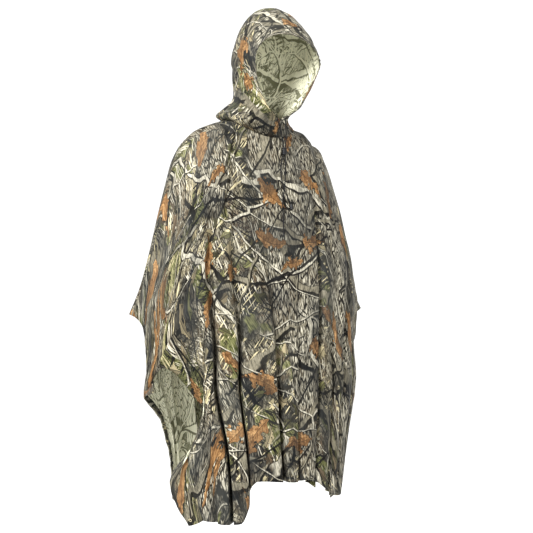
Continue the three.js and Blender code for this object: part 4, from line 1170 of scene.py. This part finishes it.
body = link("body_cloth", body_mesh())
hood = link("hood_cloth", hood_mesh())
weld(hood.data, SEAM_WELD)
shell(body)
shell(hood)
ride(body, "cloth", "front_panel", "back_panel")
ride(hood, "cloth", "hood_right", "hood_left")

# Turned hems and the casing of the face opening: strips of the printed face on the inside, in mm
HEM_WIDTH, CASING_WIDTH = 20.0, 15.0
STRIP_START, STRIP_STEPS = 0.4, 4
STRIP_THICKNESS = 0.5
STRIP_GAP = 0.15
STRIP_PRINT, STRIP_PRINT_STEP, STRIP_ROW = 11.0, 1.7, 0.005


def paths_from(grid, normals, edge):
    """Lines of points and normals that run into the cloth from one of its edges."""
    if edge == "hem":
        return grid[::-1].swapaxes(0, 1), normals[::-1].swapaxes(0, 1)
    if edge == "first":
        return grid, normals
    return grid[:, ::-1], normals[:, ::-1]


def along_paths(lines, normals, away):
    """Points at a distance from the edge, and the cloth's directions there."""
    points, outward = [], []
    for line, normal in zip(lines, normals):
        run = length_run(line)
        points.append(at_length(line, run, away))
        outward.append(at_length(normal, run, away))
    return np.array(points), unit(np.array(outward))


def strip(lines, normals, width, layer):
    """Both faces of a band that lies against the cloth along an edge."""
    lift = CLOTH_THICKNESS / MM + STRIP_GAP + layer * (STRIP_THICKNESS + STRIP_GAP)
    near, far = [], []
    for away in np.linspace(STRIP_START, width, STRIP_STEPS + 1):
        point, normal = along_paths(lines, normals, away)
        near.append(point - normal * lift)
        far.append(near[-1] - normal * STRIP_THICKNESS)
    return np.array(near), np.array(far)


def band_mesh(name, near, far, start, material):
    """Closed band between two grids, with lengths along it as its print's place."""
    rows, cols = near.shape[:2]
    points = np.concatenate([far.reshape(-1, 3), near.reshape(-1, 3)]) * MM
    run = length_run(near[0]) * MM
    faces = []
    top = rows * cols
    for i in range(rows - 1):
        for j in range(cols - 1):
            a = i * cols + j
            faces.append((a, a + 1, a + cols + 1, a + cols))
            faces.append((top + a, top + a + cols, top + a + cols + 1, top + a + 1))
    own = np.arange(top).reshape(rows, cols)
    rim = np.concatenate([own[0], own[1:, -1], own[-1, -2::-1], own[-2:0:-1, 0]]).tolist()
    for a, b in zip(rim, rim[1:] + rim[:1]):
        faces.append((b, a, top + a, top + b))
    mesh = mesh_from(name, points, faces)
    layer = mesh.uv_layers.new(name="print")
    for loop in mesh.loops:
        i, j = divmod(loop.vertex_index % top, cols)
        layer.data[loop.index].uv = (start + run[j], start + i * STRIP_ROW)
    obj = link(name, mesh)
    mesh.materials.append(material)
    smooth(mesh)
    ride(obj, "cloth")
    return obj


SURFACES = {f"{half}_hem": (*cloth, "hem") for half, cloth in HALVES.items()}
for half, cloth in HALVES.items():
    SURFACES[f"{half}_side_right"] = (*cloth, "first")
    SURFACES[f"{half}_side_left"] = (*cloth, "last")
# The casing lies along the face opening, above the throat
on_face = HOOD_SHARES >= HOOD_VEE
for side, side_name in ((RIGHT, "right"), (LEFT, "left")):
    grid, normals = hood_sides[side]
    SURFACES[f"face_casing_{side_name}"] = (grid[on_face], normals[on_face], "first")

# Stitches, and how far from an edge or a seam they run, in mm
STITCH_STEP, STITCH_LENGTH, STITCH_WIDTH, STITCH_HEIGHT, STITCH_SINK = 3.6, 2.5, 0.55, 0.35, 0.15
HEM_STITCH_IN, NECK_STITCHES_AWAY, CROWN_STITCH_AWAY = 2.0, (3.0, 8.0), 3.0
# Place along a stitch, and its share of the full width and height there
STITCH_SHAPE = ((0, 0.4), (0.25, 1), (0.75, 1), (1, 0.4))
stitches = {"body": [], "hood": []}


def sew(which, line, normals):
    """Places stitches at even steps along a line on the cloth's outer face."""
    run = length_run(line)
    for at in np.arange(STITCH_STEP, run[-1] - STITCH_STEP, STITCH_STEP):
        a, b = (at_length(line, run, at + d) for d in (0, STITCH_LENGTH))
        stitches[which].append((a, b, unit(at_length(normals, run, at))))


strips = {"body": [], "hood": []}
for k, (name, (grid, normals, edge)) in enumerate(SURFACES.items()):
    which = "hood" if name.startswith("face") else "body"
    width = CASING_WIDTH if which == "hood" else HEM_WIDTH
    lines, directions = paths_from(grid, normals, edge)
    near, far = strip(lines, directions, width, 1 if "side" in name else 0)
    # The face casing takes the print darkened by painted shade, the hems take the plain print
    material = SHADED_FACING if which == "hood" else PRINT
    strips[which].append(band_mesh(name, near, far, STRIP_PRINT_STEP * k + STRIP_PRINT, material))
    sew(which, *along_paths(lines, directions, width - HEM_STITCH_IN))

# Neck seam, sewn twice on the body, and the seam over the head, sewn on either side
on_neck = np.abs(fine_tops) <= 1
for grid, normals in HALVES.values():
    lines, directions = grid[:, on_neck].swapaxes(0, 1), normals[:, on_neck].swapaxes(0, 1)
    for away in NECK_STITCHES_AWAY:
        sew("body", *along_paths(lines, directions, away))
for side in (RIGHT, LEFT):
    lines, directions = paths_from(*hood_sides[side], "hem")
    sew("hood", *along_paths(lines[:-2], directions[:-2], CROWN_STITCH_AWAY))
    point, normal = along_paths(*paths_from(*hood_sides[side], "last"), CROWN_STITCH_AWAY)
    sew("hood", point[2:-2], normal[2:-2])


def stitch_mesh(name, rows):
    """Short threads, flat below, round above and narrow at their ends."""
    points, faces = [], []
    for a, b, normal in rows:
        along = unit(b - a)
        across = np.cross(along, normal)
        start = len(points)
        for f, size in STITCH_SHAPE:
            middle = a + (b - a) * f
            half = across * STITCH_WIDTH / 2 * size
            top, sink = normal * STITCH_HEIGHT * size, normal * STITCH_SINK
            points += [middle - half - sink, middle - half * 0.6 + top]
            points += [middle + half * 0.6 + top, middle + half - sink]
        for k in range(3):
            p = start + 4 * k
            for q in range(4):
                r = (q + 1) % 4
                faces.append((p + q, p + r, p + 4 + r, p + 4 + q))
        faces.append((start + 3, start + 2, start + 1, start))
        faces.append((start + 12, start + 13, start + 14, start + 15))
    obj = link(name, mesh_from(name, np.array(points) * MM, faces))
    obj.data.materials.append(THREAD)
    smooth(obj.data)
    ride(obj, "cloth")
    return obj


threads = {which: stitch_mesh(f"{which}_stitches", rows) for which, rows in stitches.items()}

# Snaps, eyelets and cord fittings: turned profiles, as radius and height in mm
CAP = [
    (0, -0.8), (5.2, -0.8), (5.3, -0.5), (5.1, 0.05), (4.5, 0.5), (3.4, 0.78), (2.4, 0.8), (2.0, 0.62),
    (1.7, 0.3), (0, 0.2),
]
SOCKET = [
    (0, -0.9), (4.4, -0.9), (4.5, -0.5), (4.2, 0.0), (3.5, 0.25), (3.2, 0.85), (2.8, 0.95), (2.1, 0.9),
    (1.9, 0.5), (1.8, -0.2), (0, -0.3),
]
STUD = [
    (0, -0.7), (4.4, -0.7), (4.45, -0.45), (3.9, -0.2), (2.3, -0.05), (1.75, 0.15), (1.7, 0.35),
    (1.95, 0.6), (1.5, 0.75), (0, 0.75),
]
EYELET = [
    (2.4, -2.2), (3.4, -2.3), (4.6, -2.2), (5.2, -1.9), (5.15, -1.6), (4.2, -1.55), (3.1, -1.5),
    (3.1, 1.5), (4.2, 1.55), (5.15, 1.6), (5.2, 1.9), (4.6, 2.2), (3.4, 2.3), (2.4, 2.2), (2.25, 1.4),
    (2.25, -1.4),
]
LOCK = [
    (0, -10), (3.4, -10), (5.4, -9.7), (6.5, -8.8), (6.9, -7.4), (6.9, -5.2), (6.4, -4.8), (6.4, -4.2),
    (6.9, -3.8), (6.9, -1.6), (6.4, -1.2), (6.4, -0.6), (6.9, -0.2), (6.9, 3.4), (6.6, 4.0), (5.0, 4.3),
    (4.9, 5.4), (5.6, 5.7), (6.2, 6.4), (6.3, 8.4), (5.7, 9.5), (4.2, 10), (0, 10),
]
TOGGLE = [
    (0, -7), (3.2, -7), (4.1, -6.6), (4.5, -5.6), (4.45, -3.8), (4.1, -3.3), (4.1, -2.7), (4.35, -2.2),
    (4.0, 0.6), (3.4, 3.4), (2.7, 5.6), (2.3, 6.7), (1.7, 7), (0, 7),
]
TIP = [
    (0, -3), (1.3, -3), (1.7, -2.6), (1.75, 1.8), (1.6, 2.6), (1.2, 3), (0, 3),
]
LATHE_SIDES = 40
LATHE_BEVEL = 0.00008


def lathe(name, profile, middle, axis, finish, closed=False):
    """Turns a profile round an axis and sets it at a place in metres."""
    rows = np.array(profile, float) * MM
    rows = np.vstack([rows, rows[:1]]) if closed else rows
    angles = np.linspace(0, 2 * math.pi, LATHE_SIDES, endpoint=False)
    axis = Vector(axis).normalized()
    turn = Vector((0, 0, 1)).rotation_difference(axis).to_matrix()
    points = []
    for radius, height in rows:
        for angle in angles:
            local = Vector((radius * math.cos(angle), radius * math.sin(angle), height))
            points.append(turn @ local + Vector(middle))
    faces = []
    for i in range(len(rows) - 1):
        for j in range(LATHE_SIDES):
            k = (j + 1) % LATHE_SIDES
            a, b = i * LATHE_SIDES, (i + 1) * LATHE_SIDES
            faces.append((a + j, a + k, b + k, b + j))
    mesh = mesh_from(name, points, faces)
    weld(mesh, POLE_WELD)
    obj = link(name, mesh)
    mesh.materials.append(finish)
    smooth(mesh)
    bevel = obj.modifiers.new("edge", "BEVEL")
    bevel.width = LATHE_BEVEL
    bevel.segments = 1
    bevel.limit_method = "ANGLE"
    select_only(obj)
    bpy.ops.object.modifier_apply(modifier=bevel.name)
    return obj


def node_place(name):
    """Middle of a round node and the direction of its axis, its shortest way through."""
    points = np.array([tuple(v.co) for v in bpy.data.objects[name].data.vertices])
    middle = (points.min(0) + points.max(0)) / 2
    _, _, ways = np.linalg.svd(points - points.mean(0), full_matrices=False)
    return middle, ways[2]


for name in frame["nodes"]:
    if name.startswith("snap"):
        stem, kind = name.rsplit("_", 1)
        middle, axis = node_place(name)
        partner = node_place(stem + ("_socket" if kind == "cap" else "_cap"))[0]
        away = middle - partner
        if kind == "stud":
            away = -away
        axis = axis if axis @ away > 0 else -axis
        profile = {"cap": CAP, "socket": SOCKET, "stud": STUD}[kind]
        piece = lathe(name + "_turned", profile, middle, axis, PLASTIC)
        ride(piece, "snap_plastic", name)
    elif name.startswith("eyelet"):
        middle, axis = node_place(name)
        piece = lathe(name + "_turned", EYELET, middle, axis, METAL, closed=True)
        ride(piece, "eyelet_brass", name)

cord_pieces = {}
for name, profile in (("cord_lock", LOCK), ("cord_toggle", TOGGLE)):
    low, high = (np.array(corner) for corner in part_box(name))
    cord_pieces[name] = lathe(name + "_turned", profile, (low + high) / 2, (0, 0, 1), PLASTIC)
    ride(cord_pieces[name], "snap_plastic", name)

# The free end of the cord is sealed
tail = smooth_route(CORD_ROUTES["drawcord_tail_free"], CORD_POINTS)[0]
tip = lathe("cord_tip", TIP, tail[-1] * MM, tail[-1] - tail[-2], PLASTIC)
ride(tip, "cord")

# Floor and light: name, place, aim, size in m and watts
FLOOR_Z, FLOOR_HALF = -1.45, 9
LIGHTS = [
    ("key", (-2.8, -1.6, 1.9), (0, 0, -0.4), 1.2, 230),
    ("fill", (-0.6, -3.4, 0.1), (0, 0, 0), 2.0, 25),
]
corners = [(x * FLOOR_HALF, y * FLOOR_HALF, FLOOR_Z) for x, y in ((-1, -1), (1, -1), (1, 1), (-1, 1))]
floor = link("floor", mesh_from("floor", corners, [(0, 1, 2, 3)]))
paper = Nodes("pale_floor").surface({"Base Color": PALE_FLOOR, "Roughness": 0.9})
floor.data.materials.append(paper)

world = bpy.data.worlds.new("studio")
bpy.context.scene.world = world
world.use_nodes = True
background = world.node_tree.nodes["Background"]
background.inputs["Color"].default_value = WHITE
background.inputs["Strength"].default_value = 1.0
bpy.context.scene.view_settings.view_transform = "Standard"
bpy.context.scene.view_settings.look = "Medium High Contrast"

for name, place, aim, size, watts in LIGHTS:
    lamp = link(name, bpy.data.lights.new(name, "AREA"))
    lamp.data.size = size
    lamp.data.energy = watts
    lamp.location = place
    direction = Vector(aim) - Vector(place)
    lamp.rotation_euler = direction.to_track_quat("-Z", "Y").to_euler()
